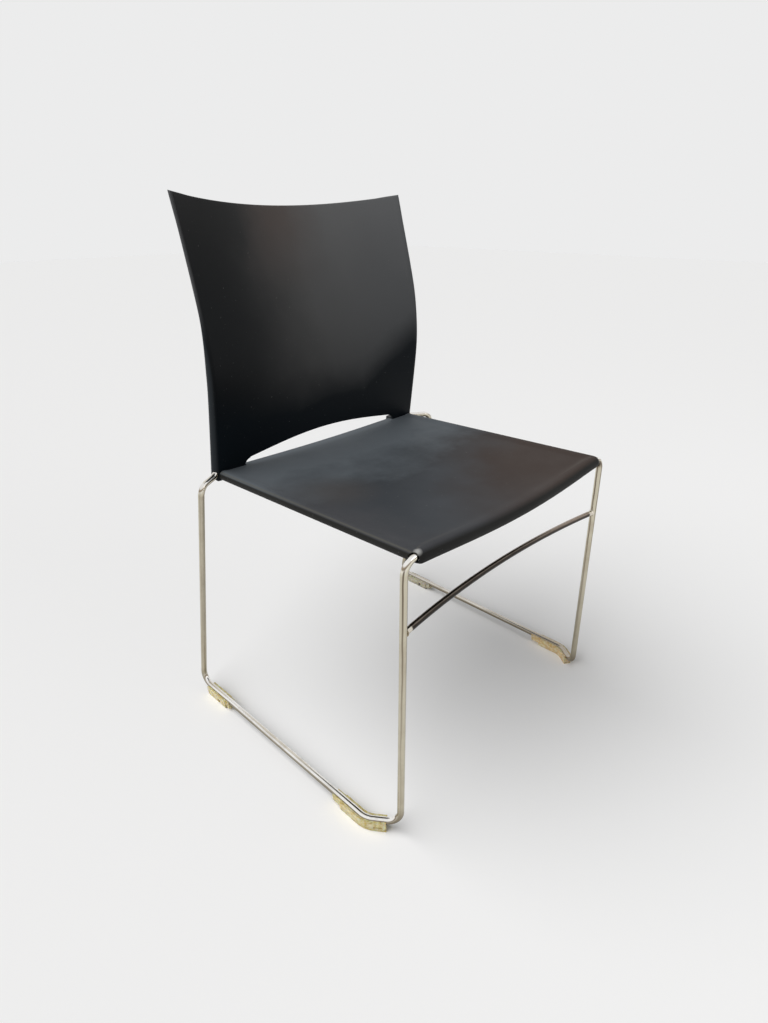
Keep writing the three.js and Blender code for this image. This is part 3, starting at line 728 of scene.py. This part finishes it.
def moulded_back():
    """The back with its foot blocks, arch and chamfers, and bores for rods and screw heads."""
    back = combined(back_body(), [foot_block(1), foot_block(-1)], "UNION")
    cuts = [arch_cutter()]
    upright = rod_stations(side_frame_corners())
    tip, lean = upright[-1]
    upright[-1] = (tip + lean * PAST, lean)
    for side in (-1, 1):
        path = upright if side > 0 else flipped(upright)
        cuts.append(sweep("bore", path, UPRIGHT_BORE))
        cuts.append(foot_chamfer(side))
        head = back_screw_place(side)
        out = head + Vector((0, BACK_SCREW_WELL, 0))
        cuts.append(pin("head", head, out, SCREW_HEAD_RADIUS + SLACK))
        start = Vector((side * RAIL_X, 0, FRONT_ROD_HEIGHT))
        end = REAR_ROD_SETBACK + PAST
        cuts.append(pin("rail", start, (side * RAIL_X, end, rail_height(end)), RAIL_BORE))
    reach = UPRIGHT_X + PAST
    cuts.append(sweep("cross", bowed_stations(-reach, reach, rear_rod), REAR_BORE))
    return combined(back, cuts, "DIFFERENCE")


# Screws
def screw(seat, out, length):
    """A pan-head screw with a cross recess, its head on the side that out points to."""
    out = Vector(out)
    profile = [(-length, SCREW_TIP_RADIUS), (SCREW_POINT - length, SCREW_RADIUS)]
    profile += [(0, SCREW_RADIUS), (SCREW_SHOULDER, SCREW_HEAD_RADIUS)]
    profile += [(SCREW_HEAD_WALL, SCREW_HEAD_RADIUS)]
    steps = 6
    for k in range(1, steps + 1):
        a = math.pi / 2 * k / steps
        high = SCREW_HEAD_WALL + (SCREW_HEAD_HEIGHT - SCREW_HEAD_WALL) * math.sin(a)
        profile.append((high, SCREW_HEAD_RADIUS - SCREW_HEAD_ROUND * (1 - math.cos(a))))
    stations = [(seat + out * high, out) for high, _ in profile]
    body = sweep("screw", stations, [radius for _, radius in profile])
    across = out.orthogonal().normalized()
    other = out.cross(across)
    slots = []
    for one, two in ((across, other), (other, across)):
        corners = []
        for high in (SCREW_HEAD_HEIGHT - RECESS_DEPTH, SCREW_HEAD_HEIGHT + RECESS_PAST):
            for a, b in ((-1, -1), (1, -1), (1, 1), (-1, 1)):
                corners.append(seat + out * high + one * a * RECESS_ARM + two * b * RECESS_HALF)
        slots.append(solid("slot", corners, [(3, 2, 1, 0), (4, 5, 6, 7), *walls(2, 4)]))
    return combined(body, slots, "DIFFERENCE")


# Materials. Colours are linear red, green and blue, and places are metres in the model's frame.
def grey(value):
    return (value, value, value)


# Seat
SEAT_FRONT = (0.0365, 0.041, 0.047)
SEAT_BROWN = (0.041, 0.0300, 0.0255)
# Painted sheen on the seat: paler at the left, bluish and paler to the rear, and paler in a patch
SEAT_LEFT_SHEEN = (0.056, 0.057, 0.062)
SEAT_REAR_SHEEN = (0.104, 0.119, 0.133)
SEAT_SHEEN_PATCH = (0.060, 0.057, 0.057)
# Painted highlight along the crests of the side rolls
SEAT_ROLL_HIGHLIGHT = (0.085, 0.082, 0.070)
# Painted highlight where the surface faces up and to the rear
SEAT_BRINK_HIGHLIGHT = (0.130, 0.122, 0.105)
# Painted shade on faces that look forward, sideways or down
SEAT_UNDER_SHADE = (0.014, 0.014, 0.013)
# Painted highlight on the seat's front left corner
SEAT_CORNER_HIGHLIGHT = (0.62, 0.62, 0.60)
# Where a painted highlight sits on the seat's front left corner, and the middle of a patch of
# painted sheen
CORNER_HIGHLIGHT_SPOT = (-0.2206, -0.2529, 0.4440)
SHEEN_PATCH_MIDDLE = (-0.150, -0.030, 0.4370)

# Back: its painted sheen's colour from left to right, and the sheen's share from the lumbar line up
SHEEN_ACROSS = [
    (0.0, grey(0.004)),
    (0.14, grey(0.009)),
    (0.28, grey(0.030)),
    (0.42, (0.100, 0.098, 0.097)),
    (0.56, (0.151, 0.150, 0.149)),
    (1.0, (0.162, 0.167, 0.174)),
]
SHEEN_UPWARDS = [
    (0.0, grey(0.0)),
    (0.03, grey(0.03)),
    (0.11, grey(0.34)),
    (0.20, grey(0.575)),
    (0.6, grey(0.59)),
    (1.0, grey(1.0)),
]
# Painted brown reflection near the top of the back's middle
BACK_BROWN_REFLECTION = (0.115, 0.088, 0.078)
# Painted shade below the lumbar line, nearly black
BACK_SHADE = (0.0028, 0.0052, 0.0078)
# Painted highlight on the back's left edge, dim low down and paler higher up
BACK_EDGE_HIGHLIGHT_LOW = (0.021, 0.025, 0.029)
BACK_EDGE_HIGHLIGHT_HIGH = (0.140, 0.142, 0.146)

# Seat and back alike
SCUFFED = grey(0.075)
DUSTY = (0.17, 0.17, 0.16)
WORN = grey(0.12)
PLASTIC_IOR = 1.49

# Chromed rods: their painted reflections from underside to top, then haze, painted shade, painted
# dark streaks, a lower tone and pits
CHROME_REFLECTIONS_UPWARDS = [
    (0.30, (0.07, 0.058, 0.042)),
    (0.36, (0.18, 0.155, 0.115)),
    (0.41, (0.42, 0.38, 0.30)),
    (0.47, (0.56, 0.51, 0.40)),
    (0.55, (0.66, 0.62, 0.49)),
    (0.66, (0.90, 0.86, 0.76)),
    (0.71, (0.30, 0.24, 0.17)),
    (0.75, (0.36, 0.29, 0.21)),
    (0.80, (0.96, 0.94, 0.90)),
    (0.95, (0.97, 0.96, 0.94)),
    (1.0, (0.74, 0.69, 0.60)),
]
CHROME_DULLED = (0.34, 0.28, 0.20)
# Painted shade under the runners
CHROME_UNDER_SHADE = (0.14, 0.12, 0.088)
# Painted brown shade on the far runner
CHROME_FAR_SHADE = (0.30, 0.25, 0.18)
# Painted dark reflection in streaks
CHROME_REFLECTED_STREAK = (0.15, 0.115, 0.08)
# Browner and darker low down on the upright rods
CHROME_LOWER_TONE = (0.36, 0.31, 0.22)
CHROME_PITTED = (0.16, 0.11, 0.07)
# Painted dark reflected streaks round an upright rod, their turn in degrees and how much more it is
# to the right
STREAKS, STREAK_TURN, STREAK_SHIFT = 4, 149, 33

# Brace: its painted shade and reflections from underside to top, then its far end's painted light,
# specks and the weld's painted highlight
BRACE_SHADED_UPWARDS = [
    (0.3, (0.012, 0.010, 0.008)),
    (0.5, (0.022, 0.019, 0.015)),
    (0.62, (0.026, 0.023, 0.019)),
    (0.70, (0.036, 0.031, 0.026)),
    (0.82, (0.044, 0.037, 0.030)),
    (1.0, (0.300, 0.250, 0.205)),
]
# Painted light on the top of the brace's far end
BRACE_FAR_LIGHT = (0.420, 0.340, 0.285)
BRACE_SPECKS = (0.200, 0.170, 0.130)
# Painted highlight on the beads of weld
BRACE_WELD_HIGHLIGHT = (0.700, 0.650, 0.560)

# Glides and screws
# Painted glints on the glides
GLIDE_PAINTED_GLINT = (1.0, 0.97, 0.80)
GLIDE_GRIME = (0.16, 0.11, 0.035)
ZINC_SHADES = [(0.35, (0.62, 0.63, 0.65)), (0.7, (0.4, 0.4, 0.38))]


def new_material(name):
    material = bpy.data.materials.new(name)
    material.use_nodes = True
    tree = material.node_tree
    tree.nodes.clear()
    output = tree.nodes.new("ShaderNodeOutputMaterial")
    shader = tree.nodes.new("ShaderNodeBsdfPrincipled")
    tree.links.new(shader.outputs["BSDF"], output.inputs["Surface"])
    return material, tree, shader


def put(node, values):
    """Sets a node's sockets, by name."""
    for key, value in values.items():
        node.inputs[key].default_value = value


def coat(tree, shader, colour, rough):
    tree.links.new(colour, shader.inputs["Base Color"])
    tree.links.new(rough, shader.inputs["Roughness"])


def place_and_facing(tree):
    """Where a point of the surface is, in metres, and the way the surface faces there."""
    coordinates = tree.nodes.new("ShaderNodeTexCoord")
    return coordinates.outputs["Object"], coordinates.outputs["Normal"]


def noise(tree, place, scale, detail=4.0, roughness=0.55, stretch=None):
    texture = tree.nodes.new("ShaderNodeTexNoise")
    put(texture, {"Scale": scale, "Detail": detail, "Roughness": roughness})
    if stretch:
        mapping = tree.nodes.new("ShaderNodeMapping")
        put(mapping, {"Scale": stretch})
        tree.links.new(place, mapping.inputs["Vector"])
        place = mapping.outputs["Vector"]
    tree.links.new(place, texture.inputs["Vector"])
    return texture.outputs["Fac"]


def ramp(tree, source, stops, interpolation="LINEAR"):
    """Colours along a factor: stops are (place, colour)."""
    node = tree.nodes.new("ShaderNodeValToRGB")
    node.color_ramp.interpolation = interpolation
    elements = node.color_ramp.elements
    while len(elements) < len(stops):
        elements.new(0.5)
    for element, (place, colour) in zip(elements, stops):
        element.position = place
        element.color = (*colour, 1)
    tree.links.new(source, node.inputs["Fac"])
    return node.outputs["Color"]


def span(tree, source, from_low, from_high, to_low=0.0, to_high=1.0):
    """A value's way from one number to another, as a way between two other numbers."""
    node = tree.nodes.new("ShaderNodeMapRange")
    put(node, {"From Min": from_low, "From Max": from_high})
    put(node, {"To Min": to_low, "To Max": to_high})
    tree.links.new(source, node.inputs["Value"])
    return node.outputs["Result"]


def mixed(tree, share, first, second):
    """Two colours mixed: all first at a share of 0, all second at 1."""
    node = tree.nodes.new("ShaderNodeMix")
    node.data_type = "RGBA"
    tree.links.new(share, node.inputs["Factor"])
    for value, key in ((first, 6), (second, 7)):
        if isinstance(value, tuple):
            node.inputs[key].default_value = (*value, 1)
        else:
            tree.links.new(value, node.inputs[key])
    return node.outputs[2]


def bumped(tree, shader, heights):
    """Stacks bumps: each is (height, strength, distance in metres)."""
    normal = None
    for height, strength, distance in heights:
        bump = tree.nodes.new("ShaderNodeBump")
        put(bump, {"Strength": strength, "Distance": distance})
        tree.links.new(height, bump.inputs["Height"])
        if normal:
            tree.links.new(normal, bump.inputs["Normal"])
        normal = bump.outputs["Normal"]
    tree.links.new(normal, shader.inputs["Normal"])


def parts_of(tree, vector):
    node = tree.nodes.new("ShaderNodeSeparateXYZ")
    tree.links.new(vector, node.inputs["Vector"])
    return node.outputs["X"], node.outputs["Y"], node.outputs["Z"]


def reckon(tree, operation, *values):
    """A Math node, with sockets or plain numbers as its inputs."""
    node = tree.nodes.new("ShaderNodeMath")
    node.operation = operation
    for k, value in enumerate(values):
        if isinstance(value, (int, float)):
            node.inputs[k].default_value = value
        else:
            tree.links.new(value, node.inputs[k])
    return node.outputs["Value"]


def times(tree, first, second):
    return reckon(tree, "MULTIPLY", first, second)


def away_from(tree, place, spot):
    """The distance of a place from a spot, in metres."""
    node = tree.nodes.new("ShaderNodeVectorMath")
    node.operation = "DISTANCE"
    tree.links.new(place, node.inputs[0])
    node.inputs[1].default_value = spot
    return node.outputs["Value"]


def swayed(tree, value, cloud, amount):
    """A place along an axis, shifted here and there by a cloud of noise."""
    shift = span(tree, cloud, 0.25, 0.75, -amount, amount)
    return reckon(tree, "ADD", value, shift)


def seat_colour(tree, place, facing, cloud):
    """Grey-black, browner to the front right, with painted sheen paler at the left and bluish and
    paler to the rear, and painted highlights and painted shade.
    """
    x, y, _ = parts_of(tree, place)
    patches = noise(tree, place, 11.0, 4.0, 0.6)
    along = swayed(tree, y, patches, 0.05)
    slant = reckon(tree, "SUBTRACT", times(tree, x, 0.6), times(tree, y, 0.8))
    slant = swayed(tree, slant, cloud, 0.05)
    brown = times(tree, span(tree, slant, 0.06, 0.20), span(tree, x, -0.10, 0.12, 0.55, 1.0))
    top = mixed(tree, brown, SEAT_FRONT, SEAT_BROWN)
    # Painted sheen, paler at the left
    side = span(tree, swayed(tree, x, patches, 0.03), -0.15, -0.22, 0.0, 0.8)
    top = mixed(tree, side, top, SEAT_LEFT_SHEEN)
    # Painted sheen, bluish and paler to the rear
    rear = times(tree, span(tree, along, -0.055, 0.075), span(tree, x, -0.22, -0.14, 0.75, 1.0))
    top = mixed(tree, rear, top, SEAT_REAR_SHEEN)
    # A patch of painted sheen
    sheen_patch = span(tree, away_from(tree, place, SHEEN_PATCH_MIDDLE), 0.02, 0.075, 0.7, 0.0)
    top = mixed(tree, sheen_patch, top, SEAT_SHEEN_PATCH)

    sideways, aft, lift = parts_of(tree, facing)
    # A painted highlight along the crests of the side rolls, where the surface faces up and
    # sideways
    crest = reckon(tree, "ABSOLUTE", reckon(tree, "SUBTRACT", lift, 0.78))
    crest = span(tree, crest, 0.04, 0.16, 0.6, 0.0)
    beside = span(tree, reckon(tree, "ABSOLUTE", sideways), 0.35, 0.55)
    edged = mixed(tree, times(tree, crest, beside), top, SEAT_ROLL_HIGHLIGHT)
    # A painted highlight where the surface faces up and to the rear, along the rear edge
    brink = times(tree, span(tree, aft, 0.2, 0.45, 0.0, 0.7), span(tree, lift, 0.55, 0.75))
    edged = mixed(tree, brink, edged, SEAT_BRINK_HIGHLIGHT)
    # Painted shade on the front faces and wherever the surface faces sideways or down
    fore = times(tree, span(tree, aft, -0.1, -0.3), span(tree, lift, 0.6, 0.97, 1.0, 0.0))
    under = reckon(tree, "MAXIMUM", fore, span(tree, lift, 0.45, 0.7, 1.0, 0.0))
    rolled = mixed(tree, under, edged, SEAT_UNDER_SHADE)
    # A painted highlight on the seat's front left corner
    corner_highlight = span(tree, away_from(tree, place, CORNER_HIGHLIGHT_SPOT), 0.0015, 0.0065, 0.7, 0.0)
    return mixed(tree, corner_highlight, rolled, SEAT_CORNER_HIGHLIGHT)


def back_colour(tree, place, facing, cloud):
    """Nearly black in painted shade below the lumbar line and to the left, with a painted grey
    sheen upper right, a painted brown reflection near the top middle and a painted highlight on the
    left edge.
    """
    x, _, z = parts_of(tree, place)
    across = swayed(tree, x, cloud, 0.018)
    # A painted sheen, nearly black at the left and grey to the right
    painted_sheen = ramp(tree, span(tree, across, -0.235, 0.235), SHEEN_ACROSS, "B_SPLINE")
    # Its share: none below the lumbar line, which stays in painted shade, and all at the top
    droop = span(tree, x, 0.10, 0.22, 0.0, 0.07)
    height = swayed(tree, reckon(tree, "SUBTRACT", z, droop), cloud, 0.012)
    share = ramp(tree, span(tree, height, 0.5, 0.85), SHEEN_UPWARDS, "B_SPLINE")
    # A painted brown reflection near the top middle
    from_middle = reckon(tree, "ABSOLUTE", reckon(tree, "ADD", across, 0.015))
    tint = times(tree, span(tree, from_middle, 0.02, 0.09, 0.6, 0.0), span(tree, z, 0.68, 0.8))
    painted_sheen = mixed(tree, tint, painted_sheen, BACK_BROWN_REFLECTION)
    face = mixed(tree, share, BACK_SHADE, painted_sheen)

    sideways, _, _ = parts_of(tree, facing)
    # A painted highlight where the surface faces left, and along the upper left edge
    rim = span(tree, sideways, -0.3, -0.7, 0.0, 0.85)
    edge = times(tree, span(tree, x, -0.2280, -0.2348, 0.0, 0.95), span(tree, z, 0.62, 0.68))
    rim = reckon(tree, "MAXIMUM", rim, edge)
    edge_highlight = mixed(tree, span(tree, z, 0.64, 0.72), BACK_EDGE_HIGHLIGHT_LOW, BACK_EDGE_HIGHLIGHT_HIGH)
    return mixed(tree, rim, face, edge_highlight)


def moulded_plastic(name, colour_of, low_rough, high_rough, level):
    """Black moulded plastic with a fine grain, cloudy sheen, faint scratches and worn edges."""
    material, tree, shader = new_material(name)
    place, facing = place_and_facing(tree)
    cloud = noise(tree, place, 7.0, 3.0)
    fine = noise(tree, place, 1400.0, 2.0)
    grain = noise(tree, place, 420.0, 4.0, 0.65)
    scratch = noise(tree, place, 60.0, 6.0, 0.7, (1.0, 9.0, 1.0))
    colour = colour_of(tree, place, facing, cloud)
    scuff = span(tree, scratch, 0.66, 0.78, 0.0, 0.3)
    colour = mixed(tree, scuff, colour, SCUFFED)
    dust = noise(tree, place, 230.0, 3.0, 0.6)
    specks = span(tree, dust, 0.69, 0.76, 0.0, 0.5)
    colour = mixed(tree, specks, colour, DUSTY)
    wear = tree.nodes.new("ShaderNodeNewGeometry").outputs["Pointiness"]
    worn = span(tree, wear, 0.56, 0.66, 0.0, 0.3)
    colour = mixed(tree, worn, colour, WORN)
    coat(tree, shader, colour, span(tree, cloud, 0.3, 0.7, low_rough, high_rough))
    put(shader, {"IOR": PLASTIC_IOR, "Specular IOR Level": level})
    bumped(tree, shader, [(grain, 0.12, 0.0001), (fine, 0.15, 0.00005)])
    return material


def chrome(name):
    """Old chromed rod with painted reflections: pale on top, painted dark streaks at its sides and
    painted shade underneath, hazed and pitted in patches.
    """
    material, tree, shader = new_material(name)
    place, facing = place_and_facing(tree)
    facing_x, facing_y, facing_z = parts_of(tree, facing)
    haze = noise(tree, place, 26.0, 5.0, 0.6)
    drift = noise(tree, place, 9.0, 2.0)
    pits = noise(tree, place, 900.0, 3.0, 0.6)
    lines = noise(tree, place, 300.0, 4.0, 0.6, (1.0, 1.0, 0.06))
    # Painted reflections, set by how far the surface faces up or down
    lift = swayed(tree, facing_z, drift, 0.07)
    colour = ramp(tree, span(tree, lift, -1, 1), CHROME_REFLECTIONS_UPWARDS)
    dulled = span(tree, haze, 0.45, 0.75, 0.0, 0.45)
    colour = mixed(tree, dulled, colour, CHROME_DULLED)

    across, depth, height = parts_of(tree, place)
    # Painted shade on the far runner near the floor, stronger towards the front
    low = times(tree, span(tree, height, 0.02, 0.05, 0.4, 0.0),
                span(tree, depth, -0.18, -0.11, 1.9, 1.0))
    # Painted shade on the runners' undersides, near the floor
    under_shade = times(tree, span(tree, height, 0.02, 0.05, 0.95, 0.0), span(tree, lift, 0.6, 0.1))
    colour = mixed(tree, under_shade, colour, CHROME_UNDER_SHADE)
    far_shade = times(tree, low, span(tree, across, 0.1, 0.2))
    colour = mixed(tree, far_shade, colour, CHROME_FAR_SHADE)

    # Painted dark reflections in streaks round the upright rods, weaker to the rear and low down
    turn = reckon(tree, "ARCTAN2", facing_y, facing_x)
    turn = swayed(tree, turn, drift, 0.35)
    turn = reckon(tree, "MULTIPLY_ADD", turn, STREAKS, math.radians(STREAKS * STREAK_TURN))
    shift = span(tree, across, -0.1, 0.1, 0.0, math.radians(STREAKS * STREAK_SHIFT))
    turn = reckon(tree, "ADD", turn, shift)
    ridge = span(tree, reckon(tree, "COSINE", turn), 0.4, 0.9, 0.0, 0.75)
    level = span(tree, reckon(tree, "ABSOLUTE", facing_z), 0.25, 0.5, 1.0, 0.0)
    streak = times(tree, ridge, level)
    streak = times(tree, streak, span(tree, depth, 0.0, 0.1, 1.0, 0.35))
    streak = times(tree, streak, span(tree, height, 0.1, 0.4, 0.3, 1.25))
    colour = mixed(tree, streak, colour, CHROME_REFLECTED_STREAK)
    # Browner and darker low down on the upright rods, fading out by 22 cm up
    worn = times(tree, span(tree, height, 0.04, 0.22, 0.3, 0.0), level)
    colour = mixed(tree, worn, colour, CHROME_LOWER_TONE)
    spots = span(tree, pits, 0.66, 0.74, 0.0, 0.5)
    colour = mixed(tree, spots, colour, CHROME_PITTED)
    coat(tree, shader, colour, span(tree, haze, 0.35, 0.75, 0.1, 0.26))
    put(shader, {"Metallic": 1.0})
    bumped(tree, shader, [(lines, 0.08, 0.00005), (pits, 0.1, 0.00003)])
    return material


def shaded_chrome_rod(name):
    """The brace: chrome in painted shade, brown and almost black, with painted light warmer to its
    far end and painted highlights on its beads of weld.
    """
    material, tree, shader = new_material(name)
    place, facing = place_and_facing(tree)
    along, _, _ = parts_of(tree, place)
    _, _, lift = parts_of(tree, facing)
    haze = noise(tree, place, 40.0, 5.0, 0.6)
    pits = noise(tree, place, 700.0, 3.0, 0.6)
    lift = swayed(tree, lift, haze, 0.08)
    # Painted shade and reflections, set by how far the surface faces up or down
    colour = ramp(tree, span(tree, lift, -1, 1), BRACE_SHADED_UPWARDS)
    # Painted light: warmer and paler on top towards the far end
    far = times(tree, span(tree, along, 0.04, 0.22, 0.0, 0.75),
                span(tree, lift, 0.3, 0.8, 0.08, 1.0))
    colour = mixed(tree, far, colour, BRACE_FAR_LIGHT)
    bright = span(tree, pits, 0.64, 0.72, 0.0, 0.4)
    colour = mixed(tree, bright, colour, BRACE_SPECKS)
    # A painted highlight at both ends of the brace, over the beads of weld
    ends = span(tree, reckon(tree, "ABSOLUTE", along), 0.2265, 0.229)
    colour = mixed(tree, ends, colour, BRACE_WELD_HIGHLIGHT)
    coat(tree, shader, colour, span(tree, haze, 0.35, 0.75, 0.14, 0.3))
    put(shader, {"Metallic": 1.0})
    bumped(tree, shader, [(pits, 0.1, 0.00003)])
    return material


def clear_glide(name, pale, deep, dirt_share, clearness):
    """Clear glide plastic gone yellow, cloudy and dirty in patches, with painted glints."""
    material, tree, shader = new_material(name)
    place, _ = place_and_facing(tree)
    cloud = noise(tree, place, 170.0, 5.0, 0.65)
    dirt = noise(tree, place, 240.0, 5.0, 0.7)
    fine = noise(tree, place, 700.0, 4.0, 0.6)
    colour = ramp(tree, cloud, [(0.40, pale), (0.58, deep)])
    # Painted glints: small near-white highlights
    glint = span(tree, fine, 0.55, 0.63, 0.0, 0.9)
    colour = mixed(tree, glint, colour, GLIDE_PAINTED_GLINT)
    grime = span(tree, dirt, 0.56, 0.68, 0.0, dirt_share)
    colour = mixed(tree, grime, colour, GLIDE_GRIME)
    coat(tree, shader, colour, span(tree, cloud, 0.3, 0.7, 0.06, 0.28))
    put(shader, {"Subsurface Weight": 0.3, "Subsurface Radius": (0.006, 0.004, 0.0015)})
    put(shader, {"Subsurface Scale": 1.0, "Transmission Weight": clearness})
    bumped(tree, shader, [(cloud, 0.8, 0.0016), (fine, 0.3, 0.0002)])
    return material


def zinc(name):
    material, tree, shader = new_material(name)
    place, _ = place_and_facing(tree)
    haze = noise(tree, place, 400.0, 4.0)
    coat(tree, shader, ramp(tree, haze, ZINC_SHADES), span(tree, haze, 0.3, 0.7, 0.25, 0.45))
    put(shader, {"Metallic": 1.0})
    bumped(tree, shader, [(haze, 0.2, 0.00005)])
    return material


seat_black = moulded_plastic("seat_black", seat_colour, 0.5, 0.66, 0.13)
back_black = moulded_plastic("back_black", back_colour, 0.42, 0.52, 0.1)
old_chrome = chrome("old_chrome")
shaded_chrome = shaded_chrome_rod("shaded_chrome")
amber = clear_glide("amber", (1.0, 0.91, 0.53), (0.74, 0.56, 0.15), 0.6, 0.4)
orange_amber = clear_glide("orange_amber", (1.0, 0.86, 0.54), (0.82, 0.52, 0.18), 0.65, 0.35)
# The far rear glide's finish: a paler, greyer and clearer copy of the glide finish, painted as it
# looks in shade, with dirt in patches
grimy_shaded_amber = clear_glide("grimy_shaded_amber", (0.88, 0.83, 0.66), (0.66, 0.58, 0.40), 0.45, 0.6)
zinc_plate = zinc("zinc_plate")


# Each piece: its name, the model's parts it stands for, which are hidden, its finish and the body
# it hangs from
def show(obj, name, nodes, material):
    obj.name = name
    obj.data.name = name
    obj.data.shade_smooth()
    obj.data.set_sharp_from_angle(angle=SHARP_ANGLE)
    obj.data.materials.clear()
    obj.data.materials.append(material)
    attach(obj, "root")
    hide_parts(*nodes)


show(moulded_seat(), "seat_moulding", ["seat_shell"], seat_black)
show(moulded_back(), "back_moulding", ["back_shell"], back_black)

right_stations = rod_stations(side_frame_corners())
for side, word in SIDES:
    stations = right_stations if side > 0 else flipped(right_stations)
    bar = sweep("bar", stations, LEG_RADIUS)
    show(bar, f"bent_frame_{word}", [f"side_frame_{word}"], old_chrome)
    rail = seat_rail(side)
    show(rail, f"seat_rail_bar_{word}", [f"seat_rail_{word}"], old_chrome)

cross_rods = [
    ("front", LEG_RADIUS, front_rod, STUB_X - SLACK),
    ("rear", REAR_ROD_RADIUS, rear_rod, UPRIGHT_X - REAR_ROD_SHORT),
]
for word, radius, place, reach in cross_rods:
    bar = sweep("bar", bowed_stations(-reach, reach, place), radius)
    show(bar, f"{word}_cross_bar", [f"{word}_cross_rod"], old_chrome)


def brace_line(x):
    """The brace's middle line, bowed to the rear."""
    return (x, BRACE_BOW * (1 - (x / LEG_X) ** 2), BRACE_HEIGHT)


brace_stations = bowed_stations(-LEG_X, LEG_X, brace_line, steps=72)
brace = sweep("bar", brace_stations[1:-1], BRACE_RADIUS)
beads = []
for side in (-1, 1):
    foot = Vector(brace_line(side * (LEG_X - LEG_RADIUS + WELD_DEPTH)))
    inward = (Vector(brace_line(side * (LEG_X - WELD_AIM))) - foot).normalized()
    beads.append(weld(foot, inward))
brace = combined(brace, beads, "UNION")
show(brace, "front_brace_bar", ["front_brace"], shaded_chrome)

for side, word in SIDES:
    for k, y in enumerate(LUG_SETBACKS):
        seat = Vector((side * SEAT_SCREW_X, y, lug_top(y) - LUG_THICKNESS))
        piece = screw(seat, (0, 0, -1), SEAT_SCREW_LENGTH)
        name = f"seat_screw_{word}_{k + 1}"
        show(piece, f"{name}_cross", [name], zinc_plate)
    piece = screw(back_screw_place(side), (0, 1, 0), BACK_SCREW_LENGTH)
    name = f"back_screw_{word}"
    show(piece, f"{name}_cross", [name], zinc_plate)

glide_finishes = {
    "front_glide_right": orange_amber,
    "front_glide_left": amber,
    "rear_glide_right": grimy_shaded_amber,
    "rear_glide_left": amber,
}
for name, finish in glide_finishes.items():
    glide = frame["nodes"][name]
    glide.data.materials.clear()
    glide.data.materials.append(finish)
    soften = glide.modifiers.new("soften", "BEVEL")
    soften.width = 0.7 * MM
    soften.segments = 3
    soften.limit_method = "ANGLE"
    soften.angle_limit = math.radians(40)
    soften.harden_normals = False


# Floor, light and camera
def floor():
    mesh = bpy.data.meshes.new("floor")
    reach = 12.0
    corners = [(-reach, -reach, 0), (reach, -reach, 0), (reach, reach, 0), (-reach, reach, 0)]
    mesh.from_pydata(corners, [], [(0, 1, 2, 3)])
    obj = added("floor", mesh)
    material, _, shader = new_material("floor_paper")
    put(shader, {"Base Color": (0.9, 0.902, 0.907, 1)})
    put(shader, {"Roughness": 0.9, "Specular IOR Level": 0.0})
    mesh.materials.append(material)


def studio_world():
    """Faint white light, and pale grey where the camera or a shine looks past the floor."""
    studio = bpy.data.worlds.new("studio")
    bpy.context.scene.world = studio
    studio.use_nodes = True
    tree = studio.node_tree
    tree.nodes.clear()
    output = tree.nodes.new("ShaderNodeOutputWorld")
    light = tree.nodes.new("ShaderNodeBackground")
    put(light, {"Color": (1.0, 1.0, 1.0, 1), "Strength": 0.15})
    seen = tree.nodes.new("ShaderNodeBackground")
    put(seen, {"Color": (0.838, 0.839, 0.840, 1), "Strength": 1.0})
    rays = tree.nodes.new("ShaderNodeLightPath").outputs
    looks = reckon(tree, "MAXIMUM", rays["Is Camera Ray"], rays["Is Glossy Ray"])
    looks = reckon(tree, "MAXIMUM", looks, rays["Is Transmission Ray"])
    choice = tree.nodes.new("ShaderNodeMixShader")
    tree.links.new(looks, choice.inputs["Fac"])
    tree.links.new(light.outputs["Background"], choice.inputs[1])
    tree.links.new(seen.outputs["Background"], choice.inputs[2])
    tree.links.new(choice.outputs["Shader"], output.inputs["Surface"])


def hung(lamp, direction):
    """The lamp as an object that shines in a direction."""
    obj = added(lamp.name, lamp)
    obj.rotation_mode = "QUATERNION"
    obj.rotation_quaternion = direction.to_track_quat("-Z", "Y")
    return obj


def key_light():
    """A broad soft sun from above, behind and the left, which metal doesn't mirror."""
    lamp = bpy.data.lights.new("key", "SUN")
    lamp.energy = 3.08
    lamp.angle = math.radians(72)
    lamp.color = (1.0, 0.995, 0.985)
    hung(lamp, Vector((0.302, -0.148, -0.43))).visible_glossy = False


def front_light():
    """A soft box above and before the chair, whose sheen lies on the back's upper right."""
    lamp = bpy.data.lights.new("front", "AREA")
    lamp.shape = "SQUARE"
    lamp.size = 1.4
    lamp.energy = 5.0
    place, target = Vector((0.69, -1.94, 1.8)), Vector((0.1, 0.2, 0.65))
    hung(lamp, target - place).location = place


def camera():
    """The photo's camera: focal length and the row its axis meets are in pixels of the photo."""
    picture_height, focal, axis_row = 1023, 646.1, 480
    place = (-0.7344, -0.6945, 0.8203)
    data = bpy.data.cameras.new("view")
    data.sensor_width = 36.0
    data.lens = focal / picture_height * data.sensor_width
    data.shift_y = (axis_row - picture_height / 2) / picture_height
    data.clip_start, data.clip_end = 0.01, 100
    obj = added("view", data)
    azimuth, pitch = math.radians(-45.93), math.radians(22.69)
    level = Vector((-math.sin(azimuth), math.cos(azimuth), 0))
    ahead = level * math.cos(pitch) + Vector((0, 0, -math.sin(pitch)))
    right = Vector((math.cos(azimuth), math.sin(azimuth), 0))
    up = right.cross(ahead)
    turn = Matrix((right, up, -ahead)).transposed()
    obj.matrix_world = Matrix.Translation(place) @ turn.to_4x4()
    bpy.context.scene.camera = obj


floor()
studio_world()
key_light()
front_light()
camera()
bpy.context.scene.view_settings.view_transform = "Standard"

bpy.context.view_layer.update()
